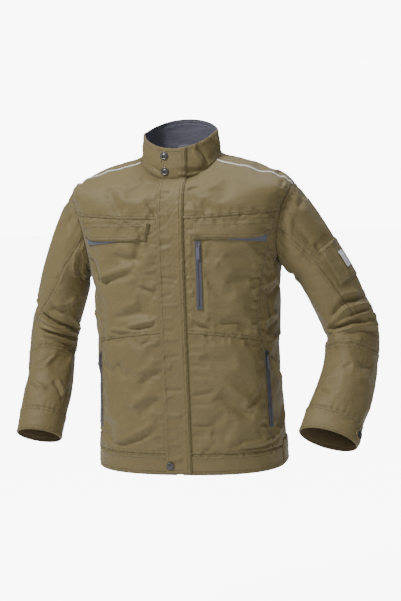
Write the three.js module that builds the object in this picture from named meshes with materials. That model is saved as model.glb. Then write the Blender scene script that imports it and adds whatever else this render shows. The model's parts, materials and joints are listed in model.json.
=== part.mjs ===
// Work jacket with a stand collar, modelled as sewn panels with gaps of a seam's width between them.
// Millimetres, +Z up, the front faces -Y and the wearer's left is +X.
// Heights are measured from the hem; the last lines move the jacket so that the origin is in the
// hanger loop, where a hook bears.
import * as THREE from 'three';

// ---------- driving dimensions ----------
const BODY = { width: 486, depth: 260 };   // greatest width across the shoulders, greatest depth at the waist
const PATTERN = { width: 486, depth: 260 };// the size that the rings and sleeve lines below are drawn for
const CLOTH = 1.5;              // thickness of one sewn panel
const SEAM_GAP = 0.3;           // each panel stops this far short of its seam line
const CLEARANCE = 0.3;          // air between pieces that lie on each other
const LAYER = 0.9;              // air between curved pieces that lie on each other, with room for their facets
const HEM_BAND = 44;            // height of the hem band
const HEM_LAYERS = { inside: 2, outside: 1 };          // how far the hem band reaches either side of the cloth
const HEM_SPLIT = DEG(97);      // angle at which the front and back hem bands meet
const HEM_TAB = { from: DEG(82), to: DEG(99), low: 3, high: 56, thick: 2 };
const WAIST_SEAM = 302;         // waist seam at the centre front
const WAIST_DROP = 26;          // how much lower the waist seam is at 70 degrees
const YOKE_SEAM = 540;          // front yoke seam at the centre
const NECK = 740;               // ring height of the neck seam
const COLLAR_RISE = 1.2;        // the collar starts this far above the neck seam
const COLLAR = 68;              // height of the collar above the neck seam, on the ring scale
const FRONT_GAP = 7;            // each front stops this far from the centre, for the zip
const FLAP_LEFT = 26;           // storm flap's sewn edge, towards the wearer's left
const FLAP_RIGHT = -30;         // storm flap's free edge
const FLAP_STANDOFF = 1.9;      // storm flap above the fronts
const FLAP_END = { low: 5, high: 2 };                  // storm flap short of the hem and of the collar's edge
const ARMHOLE = { phi: DEG(90), h: 525, halfAngle: DEG(17), halfHeight: 88, power: 2.2 };
const BACK_SEAM = DEG(118);     // angle of the seam between side panel and back
const PIPING_R = 1.6;           // radius of the reflective piping
const PIPING_NECK = DEG(70);    // angle at which the piping meets the neck seam
const SNAP_R = 8.5;             // radius of a press stud's cap
const SNAP_H = 3;               // height of a press stud's cap
const FRONT_SNAPS = {           // distance from the centre and height of each stud on the storm flap
  snap_collar_top: [-21, NECK + 50],
  snap_collar_low: [-20, NECK + 18],
  snap_hem: [-20, 20],
};
const POCKET_FLAP = { inner: 46, outer: 204, top: 535, bottom: 499, chamfer: 24, cut: 0.4, lift: 2.6 };
const ACCENT = { inner: 116, length: 80, low: 1, slope: 9, tuck: 8, thick: 0.8 };
const POCKET_BAG = { from: DEG(22), to: DEG(64), low: 74, high: 262, thick: 1.2 };
const CHEST_ZIP = { x: 57, low: 353, high: POCKET_FLAP.bottom - 3 };
const SIDE_ZIP = { low: 92, high: 255 };
const ZIP = { width: 12, thick: 1.6, slot: 1.6, stop: 4 };
const SLIDER = { width: 9, length: 11, plate: 1.3, neck: 0.8 };
const PULL = { width: 7, length: 32, thick: 1.6, eye: 3.4, corner: 2 };
const FRONT_TAPE = { inner: 0.9, outer: 14, depth: 4.4, thick: 1.3, low: 30 };
const FRONT_SLIDER = { top: NECK + COLLAR - 8, plate: 1, pullThick: 1.1, pullLength: 24, seat: 0.2 };
const SLEEVE_HEAD = 130;        // length over which a sleeve changes from the armhole's outline to a round tube
const ELBOW = { start: 0.47, end: 0.6 };   // share of the sleeve's length taken by the elbow piece
const CUFF = 52;                // length of the cuff
const CUFF_TAB = { from: DEG(-60), to: DEG(32), inset: 20, height: 24, stud: DEG(11) };
const CUFF_TURN = { left: 0, right: DEG(-85) };        // how far round its cuff each tab is moved
const SLEEVE_POCKET = { from: DEG(-35), to: DEG(60), top: 95, bottom: 168, thick: 1.2 };
const LABEL = { width: 25, height: 38, thick: 1.2, beta: DEG(12), s: 130 };
const LOOP = { span: 44, reach: 9, drop: 6, width: 6, thick: 1.4, above: 8 };

// Samples round each armhole, counted from its top over the front, where seams end.
const ARMHOLE_STEPS = 24;
const MARK = DEG(360 / ARMHOLE_STEPS);
const PIPING_MARK = 1;
const YOKE_MARK = 5;
const SLEEVE_MARK = 6;          // front seam of the sleeve
const BACK_MARK = 16;           // seam behind the side panel
const BACK_YOKE_MARK = 18;
const UNDER_MARK = 19;          // rear seam of the sleeve

// Rows and columns of the panels' grids.
const LOW_ROWS = 6;
const CHEST_ROWS = 7;
const FRONT_COLUMNS = 10;
const BACK_COLUMNS = 12;
const STEP = [0.01, 1];         // steps round and along a surface that its normals are measured over

function DEG(n) {
  return n * Math.PI / 180;
}

// Rings of the body from the hem to the top of the collar:
// ring height, side z, half width, front half depth, back half depth, roundness, front z, back z.
const BODY_RINGS = [
  [0, 0, 206, 135, 124, 2.5, 0, 0],
  [44, 44, 204, 135, 124, 2.5, 44, 44],
  [110, 110, 200, 135, 123, 2.5, 110, 110],
  [260, 260, 196, 136, 122, 2.5, 260, 260],
  [300, 300, 196.5, 136, 122, 2.5, 300, 300],
  [360, 360, 200, 135.5, 122, 2.5, 360, 360],
  [413, 413, 204.5, 134.5, 122, 2.55, 413, 413],
  [460, 460, 212, 133, 121, 2.65, 460, 460],
  [500, 500, 220, 131, 120, 2.75, 500, 500],
  [540, 540, 230, 127, 118, 2.85, 540, 540],
  [575, 574, 238, 121, 114, 2.9, 571, 574],
  [598, 594, 243, 115, 109, 2.9, 588, 593],
  [620, 611, 236, 108, 102, 2.85, 600, 612],
  [645, 628, 212, 101, 94, 2.7, 608, 632],
  [675, 644, 176, 94, 86, 2.5, 613, 651],
  [710, 660, 130, 86, 76, 2.3, 618, 668],
  [740, 672, 89, 78, 66, 2.15, 622, 683],
  [774, 697, 84.5, 74, 63.5, 2.1, 655, 716],
  [808, 723, 80, 70, 61, 2.1, 688, 749],
];

// Middle line of each sleeve from the armhole to the cuff's edge: x, y, z, radius across, radius fore and aft.
const SLEEVE_LINES = {
  left: [
    [224, 0, 524, 60, 66],
    [272, 3, 458, 54, 62],
    [311, 6, 391, 54, 60],
    [352, 10, 289, 56, 57],
    [352, -12, 222, 57, 53],
    [341, -55, 164, 59, 49],
    [321, -100, 104, 61, 46],
    [314, -122, 78, 62, 45],
  ],
  right: [
    [-224, 0, 524, 60, 66],
    [-257, 3, 465, 53, 62],
    [-284, 8, 383, 52, 59],
    [-308, 14, 308, 52, 56],
    [-316, 0, 247, 51, 53],
    [-314, -40, 177, 51, 50],
    [-319, -86, 104, 50, 46],
    [-321, -103, 76, 49, 44],
  ],
};

// ---------- curves and surfaces ----------
// Smooth values between the rows of a table whose first column rises.
function between(rows, at) {
  const last = rows.length - 1;
  let k = 0;
  while (k < last - 1 && at > rows[k + 1][0]) k += 1;
  const span = rows[k + 1][0] - rows[k][0];
  const t = (at - rows[k][0]) / span;
  const slope = (row, column) => {
    const low = Math.max(row - 1, 0);
    const high = Math.min(row + 1, last);
    return (rows[high][column] - rows[low][column]) / (rows[high][0] - rows[low][0]);
  };
  return rows[k].slice(1).map((value, index) => {
    const column = index + 1;
    const next = rows[k + 1][column];
    const m0 = slope(k, column) * span;
    const m1 = slope(k + 1, column) * span;
    const t2 = t * t;
    const t3 = t2 * t;
    const [start, end] = [2 * t3 - 3 * t2 + 1, 3 * t2 - 2 * t3];
    return value * start + m0 * (t3 - 2 * t2 + t) + next * end + m1 * (t3 - t2);
  });
}

// Point of the body at angle phi (0 at the centre front, 90 degrees at the wearer's left) and ring h.
function bodyPoint(phi, h) {
  const [zSide, half, front, back, power, zFront, zBack] = between(BODY_RINGS, h);
  const sine = Math.sin(phi);
  const cosine = Math.cos(phi);
  const halfWidth = half * BODY.width / PATTERN.width;
  const depth = (cosine > 0 ? front : back) * BODY.depth / PATTERN.depth;
  const round = (Math.abs(sine) / halfWidth) ** power + (Math.abs(cosine) / depth) ** power;
  const radius = round ** (-1 / power);
  const y = -radius * cosine;
  const share = (Math.abs(y) / depth) ** 1.5;
  const z = zSide + ((cosine > 0 ? zFront : zBack) - zSide) * share;
  return new THREE.Vector3(radius * sine, y, z);
}

// Angle of the front's point that lies x to the wearer's left of the centre.
function frontAngle(x, h) {
  return Math.atan2(x, between(BODY_RINGS, h)[2] * BODY.depth / PATTERN.depth);
}

// Angle at which the fronts stop beside the zip.
function openAngle(h) {
  return frontAngle(FRONT_GAP, h);
}

// Point of the armhole's edge, beta round it from its top over the front.
function armholeAt(beta, side) {
  const round = (value) => Math.sign(value) * Math.abs(value) ** (2 / ARMHOLE.power);
  const phi = ARMHOLE.phi - ARMHOLE.halfAngle * round(Math.sin(beta));
  return [side * phi, ARMHOLE.h + ARMHOLE.halfHeight * round(Math.cos(beta))];
}

// Angle of the princess seam, which runs from the hem band up to the yoke.
function princessAngle(h) {
  const rows = [
    [0, DEG(71)], [90, DEG(70.5)], [255, DEG(69.5)], [284, DEG(66)], [300, DEG(64.8)], [385, DEG(65.5)],
    [444, DEG(67.4)], [496, DEG(68.9)], [550, DEG(70.2)],
  ];
  return between(rows, h)[0];
}

function waistHeight(phi) {
  return WAIST_SEAM - WAIST_DROP * (Math.abs(phi) / DEG(70)) ** 2;
}

// The yoke seam rises from the centre to its mark on the armhole.
function yokeHeight(phi) {
  const [end, height] = armholeAt(YOKE_MARK * MARK, 1);
  return YOKE_SEAM + (height - YOKE_SEAM) * (Math.abs(phi) / end) ** 2;
}

// Where a seam meets the princess seam: its angle and height.
function onPrincess(rule) {
  let h = rule(princessAngle(rule(0)));
  for (let i = 0; i < 8; i += 1) h = rule(princessAngle(h));
  return [princessAngle(h), h];
}

// A sleeve as a surface: beta runs round it from the outside over the front, s runs down it in mm.
function makeSleeve(side, pattern) {
  const shift = side * (BODY.width - PATTERN.width) / 2;
  const rows = pattern.map(([x, ...rest]) => [x + shift, ...rest]);
  const knots = [0];
  for (let i = 1; i < rows.length; i += 1) {
    const [before, here] = [rows[i - 1], rows[i]];
    const step = Math.hypot(here[0] - before[0], here[1] - before[1], here[2] - before[2]);
    knots.push(knots[i - 1] + step);
  }
  const table = rows.map((row, i) => [knots[i], ...row]);
  const length = knots[knots.length - 1];
  const middle = (s) => {
    const [x, y, z] = between(table, s);
    return new THREE.Vector3(x, y, z);
  };
  const frame = (s) => {
    const along = middle(Math.min(s + 1, length)).sub(middle(Math.max(s - 1, 0))).normalize();
    const fore = new THREE.Vector3(0, -1, 0);
    fore.addScaledVector(along, -fore.dot(along)).normalize();
    const outward = new THREE.Vector3().crossVectors(fore, along).normalize();
    if (outward.x * side < 0) outward.negate();
    return { along, fore, outward };
  };
  const start = middle(0);
  const point = (beta, s) => {
    const [x, y, z, across, foreAft] = between(table, s);
    const centre = new THREE.Vector3(x, y, z);
    const { fore, outward } = frame(s);
    const ring = centre.clone();
    ring.addScaledVector(outward, across * Math.cos(beta)).addScaledVector(fore, foreAft * Math.sin(beta));
    const blend = Math.min(s / SLEEVE_HEAD, 1);
    const weight = blend * blend * (3 - 2 * blend);
    const head = bodyPoint(...armholeAt(beta, side)).add(centre).sub(start);
    return head.lerp(ring, weight);
  };
  return { side, length, middle, frame, point };
}

// ---------- closed solids from surfaces ----------
function normalAt(surface, u, v) {
  const [du, dv] = STEP;
  const alongU = surface(u + du, v).sub(surface(u - du, v));
  const alongV = surface(u, v + dv).sub(surface(u, v - dv));
  return alongU.cross(alongV).normalize();
}

// +1 where the normal points away from the far side of the tube, else -1.
function outwardSign(surface, [u, v], normal) {
  return Math.sign(surface(u, v).sub(surface(u + Math.PI, v)).dot(normal));
}

function outwardNormal(surface, spot) {
  const normal = normalAt(surface, ...spot);
  return normal.multiplyScalar(outwardSign(surface, spot, normal));
}

function outwardVolume(positions, index) {
  let total = 0;
  for (let i = 0; i < index.length; i += 3) {
    const a = positions[index[i]];
    const b = positions[index[i + 1]];
    const c = positions[index[i + 2]];
    total += a.dot(new THREE.Vector3().crossVectors(b, c));
  }
  return total;
}

function solidFrom(positions, index) {
  const ordered = index.slice();
  if (outwardVolume(positions, index) < 0) ordered.reverse();
  const geometry = new THREE.BufferGeometry();
  const flat = positions.flatMap((p) => [p.x, p.y, p.z]);
  geometry.setAttribute('position', new THREE.Float32BufferAttribute(flat, 3));
  geometry.setIndex(ordered);
  return geometry;
}

// Moves the outer rows and columns of a grid of points inwards along the cloth.
function inset(grid, amount, wraps) {
  const rows = grid.length;
  const columns = grid[0].length;
  const pull = (from, to) => from.addScaledVector(to.clone().sub(from).normalize(), amount);
  if (!wraps) {
    for (let j = 0; j < columns; j += 1) {
      pull(grid[0][j], grid[1][j]);
      pull(grid[rows - 1][j], grid[rows - 2][j]);
    }
  }
  for (let i = 0; i < rows; i += 1) {
    pull(grid[i][0], grid[i][1]);
    pull(grid[i][columns - 1], grid[i][columns - 2]);
  }
}

// A panel of cloth: domain is a grid of [u, v] on the surface, low and high are its two offsets.
function panelGeometry(surface, domain, low, high, { wraps = false } = {}) {
  const normals = domain.map((row) => row.map(([u, v]) => normalAt(surface, u, v)));
  const place = (offset) => domain.map((row, i) => row.map(([u, v], j) => (
    surface(u, v).addScaledVector(normals[i][j], offset))));
  const rows = domain.length;
  const columns = domain[0].length;
  const middle = [Math.floor(rows / 2), Math.floor(columns / 2)];
  const faceOut = outwardSign(surface, domain[middle[0]][middle[1]], normals[middle[0]][middle[1]]);
  const outer = place(high * faceOut);
  const inner = place(low * faceOut);
  inset(outer, SEAM_GAP, wraps);
  inset(inner, SEAM_GAP, wraps);
  const positions = [...outer.flat(), ...inner.flat()];
  const at = (layer, i, j) => layer * rows * columns + (i % rows) * columns + j;
  const index = [];
  const quad = (a, b, c, d) => index.push(a, b, c, a, c, d);
  const lastRow = wraps ? rows : rows - 1;
  for (let i = 0; i < lastRow; i += 1) {
    for (let j = 0; j < columns - 1; j += 1) {
      quad(at(0, i, j), at(0, i + 1, j), at(0, i + 1, j + 1), at(0, i, j + 1));
      quad(at(1, i, j), at(1, i, j + 1), at(1, i + 1, j + 1), at(1, i + 1, j));
    }
    quad(at(0, i, 0), at(1, i, 0), at(1, i + 1, 0), at(0, i + 1, 0));
    quad(at(0, i, columns - 1), at(0, i + 1, columns - 1), at(1, i + 1, columns - 1), at(1, i, columns - 1));
  }
  if (!wraps) {
    for (let j = 0; j < columns - 1; j += 1) {
      quad(at(0, 0, j), at(0, 0, j + 1), at(1, 0, j + 1), at(1, 0, j));
      quad(at(0, rows - 1, j), at(1, rows - 1, j), at(1, rows - 1, j + 1), at(0, rows - 1, j + 1));
    }
  }
  return solidFrom(positions, index);
}

// Grid of [u, v] that fills the space between four edges, each a list of [u, v].
function fill(bottom, top, left, right) {
  const columns = bottom.length - 1;
  const rows = left.length - 1;
  return bottom.map((_, i) => left.map((__, j) => {
    const u = i / columns;
    const v = j / rows;
    return [0, 1].map((k) => (1 - v) * bottom[i][k] + v * top[i][k] + (1 - u) * left[j][k] + u * right[j][k]
      - (1 - u) * (1 - v) * bottom[0][k] - u * (1 - v) * bottom[columns][k]
      - (1 - u) * v * top[0][k] - u * v * top[columns][k]);
  }));
}

// The same edge with a point added halfway along each step.
function halved(edge) {
  return edge.flatMap((point, i) => {
    if (i === 0) return [point];
    const before = edge[i - 1];
    return [[(before[0] + point[0]) / 2, (before[1] + point[1]) / 2], point];
  });
}

function steps(from, to, count) {
  return Array.from({ length: count + 1 }, (_, i) => from + (to - from) * i / count);
}

function rectangle(u0, u1, v0, v1, columns, rows) {
  return steps(u0, u1, columns).map((u) => steps(v0, v1, rows).map((v) => [u, v]));
}

// Places a flat piece on a surface: local X across, local Y up the surface, local Z out of it.
function frameOn(low, high, outward, lift) {
  const up = high.clone().sub(low).normalize();
  const out = outward.clone().addScaledVector(up, -outward.dot(up)).normalize();
  const across = new THREE.Vector3().crossVectors(up, out);
  const matrix = new THREE.Matrix4().makeBasis(across, up, out);
  matrix.setPosition(low.clone().addScaledVector(out, lift));
  return matrix;
}

// ---------- materials ----------
const finish = (color, roughness, metalness = 0) => (
  new THREE.MeshStandardMaterial({ color, roughness, metalness }));
const KHAKI = finish(0x8d7f5c, 0.85);
const SLATE = finish(0x55565f, 0.8);
const PIPING = finish(0xd0cec6, 0.5);
const ZIP_GREY = finish(0x4a4a52, 0.6);
const METAL = finish(0x77767a, 0.35, 0.9);
const PALE = finish(0xd9d6dc, 0.7);

// ---------- assembly ----------
const jacket = new THREE.Group();
const SIDES = { left: 1, right: -1 };

function add(name, geometry, material, parent = jacket) {
  const mesh = new THREE.Mesh(geometry, material);
  mesh.name = name;
  parent.add(mesh);
  return mesh;
}

function armholeEdge(side, from, to) {
  return steps(from, to, Math.abs(to - from)).map((k) => armholeAt(k * MARK, side));
}

function princessEdge(side, from, to, count) {
  return steps(from, to, count).map((h) => [side * princessAngle(h), h]);
}

// Adds one side's front panels and side panel, and returns the side panel's rear edge for the back to meet.
function addFront(name, side) {
  const seam = (rule, from, to, count) => steps(from, to, count).map((phi) => [side * phi, rule(phi)]);
  const centre = (from, to, count) => steps(from, to, count).map((h) => [side * openAngle(h), h]);
  const [waistEnd, waistSide] = onPrincess(waistHeight);
  const [princessEnd, princessTop] = onPrincess(yokeHeight);
  const waist = seam(waistHeight, openAngle(WAIST_SEAM), waistEnd, FRONT_COLUMNS);
  const waistStart = waist[0][1];

  const band = seam(() => HEM_BAND, openAngle(HEM_BAND), princessAngle(HEM_BAND), FRONT_COLUMNS);
  const lowerSide = princessEdge(side, HEM_BAND, waistSide, LOW_ROWS);
  const lower = fill(band, waist, centre(HEM_BAND, waistStart, LOW_ROWS), lowerSide);
  add(`front_lower_${name}`, panelGeometry(bodyPoint, lower, -CLOTH, 0), KHAKI);

  const chestTop = seam(yokeHeight, openAngle(YOKE_SEAM), princessEnd, FRONT_COLUMNS);
  const chestSide = princessEdge(side, waistSide, princessTop, CHEST_ROWS);
  const chest = fill(waist, chestTop, centre(waistStart, chestTop[0][1], CHEST_ROWS), chestSide);
  add(`front_chest_${name}`, panelGeometry(bodyPoint, chest, -CLOTH, 0), KHAKI);

  const yokeSide = halved(armholeEdge(side, YOKE_MARK, PIPING_MARK));
  const neckPart = seam(() => NECK, openAngle(NECK), PIPING_NECK, 5);
  const yokeTop = [...neckPart, ...pipingLine(side).slice(1)];
  const [armholeAngle] = armholeAt(YOKE_MARK * MARK, 1);
  const yokeBottom = seam(yokeHeight, openAngle(YOKE_SEAM), armholeAngle, yokeTop.length - 1);
  const yokeCentre = centre(yokeBottom[0][1], NECK, yokeSide.length - 1);
  const yoke = fill(yokeBottom, yokeTop, yokeCentre, yokeSide);
  add(`front_yoke_${name}`, panelGeometry(bodyPoint, yoke, -CLOTH, 0), KHAKI);

  const [backAngle, backHeight] = armholeAt(BACK_MARK * MARK, 1);
  const rearSeam = steps(0, 1, LOW_ROWS + CHEST_ROWS).map((share) => (
    [side * (BACK_SEAM + (backAngle - BACK_SEAM) * share ** 3), HEM_BAND + (backHeight - HEM_BAND) * share]));
  const foreSeam = [...lowerSide, ...chestSide.slice(1)];
  const under = armholeEdge(side, YOKE_MARK, BACK_MARK);
  const sideTop = [...seam(yokeHeight, princessEnd, armholeAngle, 1), ...under.slice(1)];
  const sideBand = seam(() => HEM_BAND, princessAngle(HEM_BAND), BACK_SEAM, sideTop.length - 1);
  const sidePanel = fill(sideBand, sideTop, foreSeam, rearSeam);
  add(`side_panel_${name}`, panelGeometry(bodyPoint, sidePanel, -CLOTH, 0), KHAKI);
  return rearSeam;
}

// The seam with the piping, from the neck to the top of the armhole.
function pipingLine(side) {
  const end = armholeAt(PIPING_MARK * MARK, 1);
  return steps(0, 1, 5).map((t) => [
    side * (PIPING_NECK + (end[0] - PIPING_NECK) * t),
    NECK + (end[1] - NECK) * t,
  ]);
}

function addBack(rearSeam) {
  const around = (phi) => 2 * Math.PI - phi;
  const leftEdge = [...rearSeam, ...armholeEdge(1, BACK_MARK, BACK_YOKE_MARK).slice(1)];
  const rightEdge = leftEdge.map(([phi, h]) => [around(phi), h]);
  const bandLine = steps(BACK_SEAM, around(BACK_SEAM), BACK_COLUMNS).map((phi) => [phi, HEM_BAND]);
  const yokeEnd = leftEdge[leftEdge.length - 1];
  const yokeLine = (count) => steps(yokeEnd[0], around(yokeEnd[0]), count).map((phi) => [phi, yokeEnd[1]]);
  const panel = fill(bandLine, yokeLine(BACK_COLUMNS), leftEdge, rightEdge);
  add('back_panel', panelGeometry(bodyPoint, panel, -CLOTH, 0), KHAKI);

  const overArm = armholeEdge(1, BACK_YOKE_MARK, ARMHOLE_STEPS + PIPING_MARK);
  const overArmRight = overArm.map(([phi, h]) => [around(phi), h]);
  const leftPiping = pipingLine(1).reverse();
  const neckArc = steps(PIPING_NECK, around(PIPING_NECK), 16).map((phi) => [phi, NECK]);
  const rightPiping = pipingLine(1).map(([phi, h]) => [around(phi), h]);
  const top = [...leftPiping, ...neckArc.slice(1), ...rightPiping.slice(1)];
  const bottom = yokeLine(top.length - 1);
  add('back_yoke', panelGeometry(bodyPoint, fill(bottom, top, overArm, overArmRight), -CLOTH, 0), KHAKI);
}

function addHemBand() {
  const band = (name, from, to, columns) => {
    const domain = rectangle(from, to, 0, HEM_BAND, columns, 1);
    add(`hem_band_${name}`, panelGeometry(bodyPoint, domain, -HEM_LAYERS.inside, HEM_LAYERS.outside), KHAKI);
  };
  const open = openAngle(0);
  band('left', open, HEM_SPLIT, 12);
  band('right', -HEM_SPLIT, -open, 12);
  band('back', HEM_SPLIT, 2 * Math.PI - HEM_SPLIT, 16);
  const low = HEM_LAYERS.outside + LAYER;
  for (const [name, side] of Object.entries(SIDES)) {
    const tab = rectangle(side * HEM_TAB.from, side * HEM_TAB.to, HEM_TAB.low, HEM_TAB.high, 3, 3);
    add(`hem_tab_${name}`, panelGeometry(bodyPoint, tab, low, low + HEM_TAB.thick), KHAKI);
  }
}

function addCollar() {
  const open = openAngle(NECK + COLLAR);
  const turn = 2 * Math.PI - open;
  const height = NECK + COLLAR;
  const outer = rectangle(open, turn, NECK + COLLAR_RISE, height, 32, 3);
  add('collar_outer', panelGeometry(bodyPoint, outer, -CLOTH, 0), KHAKI);
  const lining = rectangle(open, turn, NECK + 3 * COLLAR_RISE, height - 1, 32, 3);
  add('collar_lining', panelGeometry(bodyPoint, lining, -2 * CLOTH - CLEARANCE, -CLOTH - CLEARANCE), SLATE);
}

// Cloth or tape that runs up the centre front between two distances from the centre.
function centreStrip(x0, x1, bottom, top, columns, low, high) {
  const heights = [
    ...steps(bottom, YOKE_SEAM, 8), ...steps(YOKE_SEAM, NECK - 20, 7).slice(1),
    ...steps(NECK - 20, NECK + 20, 7).slice(1), ...steps(NECK + 20, top, 3).slice(1),
  ];
  const domain = steps(x0, x1, columns).map((x) => heights.map((h) => [frontAngle(x, h), h]));
  return panelGeometry(bodyPoint, domain, low, high);
}

function addCentreFront() {
  const top = NECK + COLLAR - FLAP_END.high;
  const low = FLAP_STANDOFF;
  add('storm_flap', centreStrip(FLAP_RIGHT, FLAP_LEFT, FLAP_END.low, top, 3, low, low + CLOTH), KHAKI);
  const tape = FRONT_TAPE;
  const layers = [-tape.depth - tape.thick, -tape.depth];
  add('front_zip_left', centreStrip(tape.inner, tape.outer, tape.low, top, 1, ...layers), ZIP_GREY);
  add('front_zip_right', centreStrip(-tape.outer, -tape.inner, tape.low, top, 1, ...layers), ZIP_GREY);
  const start = bodyPoint(0, FRONT_SLIDER.top);
  const end = start.clone().multiplyScalar(2).sub(bodyPoint(0, FRONT_SLIDER.top - 50));
  const matrix = frameOn(start, end, new THREE.Vector3(0, -1, 0), -tape.depth);
  addSlider('front', matrix, 0, FRONT_SLIDER);
}

// Slider with a neck in the tape's slot, and the pull that hangs from it, in the frame given.
function addSlider(name, matrix, y, sizes) {
  const { plate = SLIDER.plate, pullThick = PULL.thick, pullLength = PULL.length, seat } = sizes;
  const group = new THREE.Group();
  group.applyMatrix4(matrix);
  jacket.add(group);
  const half = SLIDER.width / 2;
  const neck = SLIDER.neck / 2;
  const base = seat + CLEARANCE;
  const outline = [
    [-neck, seat - ZIP.thick + CLEARANCE], [neck, seat - ZIP.thick + CLEARANCE], [neck, base], [half, base],
    [half, base + plate], [-half, base + plate], [-half, base], [-neck, base],
  ];
  const section = new THREE.Shape(outline.map(([x, z]) => new THREE.Vector2(x, z)));
  const body = new THREE.ExtrudeGeometry(section, { depth: SLIDER.length, bevelEnabled: false });
  body.rotateX(Math.PI / 2).translate(0, y, 0);
  add(`${name}_zip_slider`, body, METAL, group);

  const { width, eye, corner } = PULL;
  const pull = new THREE.Shape();
  pull.moveTo(corner - width / 2, -pullLength);
  pull.lineTo(width / 2 - corner, -pullLength);
  pull.lineTo(width / 2, corner - pullLength);
  pull.lineTo(width / 2, -corner);
  pull.lineTo(width / 2 - corner, 0);
  pull.lineTo(corner - width / 2, 0);
  pull.lineTo(-width / 2, -corner);
  pull.lineTo(-width / 2, corner - pullLength);
  pull.closePath();
  const hole = new THREE.Path();
  hole.absellipse(0, -eye - 0.6, eye / 2, eye / 2, 0, 2 * Math.PI, true);
  pull.holes.push(hole);
  const grip = new THREE.ExtrudeGeometry(pull, { depth: pullThick, bevelEnabled: false, curveSegments: 3 });
  grip.translate(0, y - 2, base + plate + CLEARANCE);
  add(`${name}_zip_pull`, grip, ZIP_GREY, group);
}

// A pocket zip: a flat tape with a slot for the slider's neck, closed by a stop at each end.
function addPocketZip(name, place, low, high) {
  const bottom = place(low);
  const top = place(high);
  const length = bottom.point.distanceTo(top.point);
  const middle = place((low + high) / 2);
  const bulge = middle.point.clone().sub(bottom.point.clone().lerp(top.point, 0.5)).dot(middle.normal);
  const matrix = frameOn(bottom.point, top.point, middle.normal, Math.max(bulge, 0) + CLEARANCE);
  const half = ZIP.width / 2;
  const slot = ZIP.slot / 2;
  const outline = new THREE.Shape([
    new THREE.Vector2(-half, 0), new THREE.Vector2(half, 0),
    new THREE.Vector2(half, length), new THREE.Vector2(-half, length),
  ]);
  outline.holes.push(new THREE.Path([
    new THREE.Vector2(-slot, ZIP.stop), new THREE.Vector2(-slot, length - ZIP.stop),
    new THREE.Vector2(slot, length - ZIP.stop), new THREE.Vector2(slot, ZIP.stop),
  ]));
  const group = new THREE.Group();
  group.applyMatrix4(matrix);
  jacket.add(group);
  const tape = new THREE.ExtrudeGeometry(outline, { depth: ZIP.thick, bevelEnabled: false });
  add(`${name}_zip_tape`, tape, ZIP_GREY, group);
  addSlider(name, matrix, length - ZIP.stop - 1, { seat: ZIP.thick });
}

const placeOnBody = (phi) => (h) => ({
  point: bodyPoint(phi(h), h),
  normal: normalAt(bodyPoint, phi(h), h),
});

function addPockets() {
  addPocketZip('chest', placeOnBody((h) => frontAngle(CHEST_ZIP.x, h)), CHEST_ZIP.low, CHEST_ZIP.high);
  for (const [name, side] of Object.entries(SIDES)) {
    addPocketZip(`side_${name}`, placeOnBody((h) => side * princessAngle(h)), SIDE_ZIP.low, SIDE_ZIP.high);
    addChestFlap(name, side);
    const bag = rectangle(side * POCKET_BAG.from, side * POCKET_BAG.to, POCKET_BAG.low, POCKET_BAG.high, 8, 4);
    const behind = -CLOTH - LAYER;
    add(`pocket_bag_${name}`, panelGeometry(bodyPoint, bag, behind - POCKET_BAG.thick, behind), SLATE);
  }
}

// A flap with its outer lower corner cut off, and the slate accent that shows under its outer half.
function addChestFlap(name, side) {
  const { inner, outer, top, bottom, chamfer, cut, lift } = POCKET_FLAP;
  const column = (x, from, to, rows) => steps(from, to, rows).map((h) => [side * flapAngle(x), h]);
  const flap = steps(inner, outer, 8).map((x) => (
    column(x, bottom + Math.max(0, x - (outer - chamfer)) * cut, top, 3)));
  add(`chest_flap_${name}`, panelGeometry(bodyPoint, flap, lift, lift + CLOTH), KHAKI);
  const accent = steps(0, 1, 4).map((t) => (
    column(ACCENT.inner + ACCENT.length * t, bottom - ACCENT.low - ACCENT.slope * t, bottom + ACCENT.tuck, 2)));
  add(`flap_accent_${name}`, panelGeometry(bodyPoint, accent, LAYER, LAYER + ACCENT.thick), SLATE);
}

// Angle of a point of the chest flap that is x from the centre, measured along the front.
function flapAngle(x) {
  const [, half, front, , power] = between(BODY_RINGS, (POCKET_FLAP.top + POCKET_FLAP.bottom) / 2);
  const halfWidth = half * BODY.width / PATTERN.width;
  const y = front * BODY.depth / PATTERN.depth * (1 - (x / halfWidth) ** power) ** (1 / power);
  return Math.atan2(x, y);
}

function addPiping() {
  for (const [name, side] of Object.entries(SIDES)) {
    const points = pipingLine(side).map(([phi, h]) => (
      bodyPoint(phi, h).addScaledVector(normalAt(bodyPoint, phi, h), PIPING_R + CLEARANCE)));
    const path = new THREE.CatmullRomCurve3(points);
    const section = new THREE.Shape();
    section.absarc(0, 0, PIPING_R, 0, 2 * Math.PI);
    const tube = new THREE.ExtrudeGeometry(section, { steps: 14, extrudePath: path, curveSegments: 3 });
    add(`piping_${name}`, tube, PIPING);
  }
}

function snapGeometry() {
  const profile = [
    [0, 0], [SNAP_R - 1, 0], [SNAP_R, 1], [SNAP_R - 0.6, SNAP_H - 0.8], [SNAP_R - 3, SNAP_H], [0, SNAP_H - 0.5],
  ];
  const cap = new THREE.LatheGeometry(profile.map(([r, y]) => new THREE.Vector2(r, y)), 16);
  cap.rotateX(Math.PI / 2);
  return cap;
}

function addSnap(name, point, normal, lift) {
  const mesh = add(name, snapGeometry(), METAL);
  mesh.position.copy(point.clone().addScaledVector(normal, lift));
  mesh.quaternion.setFromUnitVectors(new THREE.Vector3(0, 0, 1), normal);
}

function addFrontSnaps() {
  const lift = FLAP_STANDOFF + CLOTH + CLEARANCE;
  for (const [name, [x, h]] of Object.entries(FRONT_SNAPS)) {
    const { point, normal } = placeOnBody(() => frontAngle(x, h))(h);
    addSnap(name, point, normal, lift);
  }
}

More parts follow.
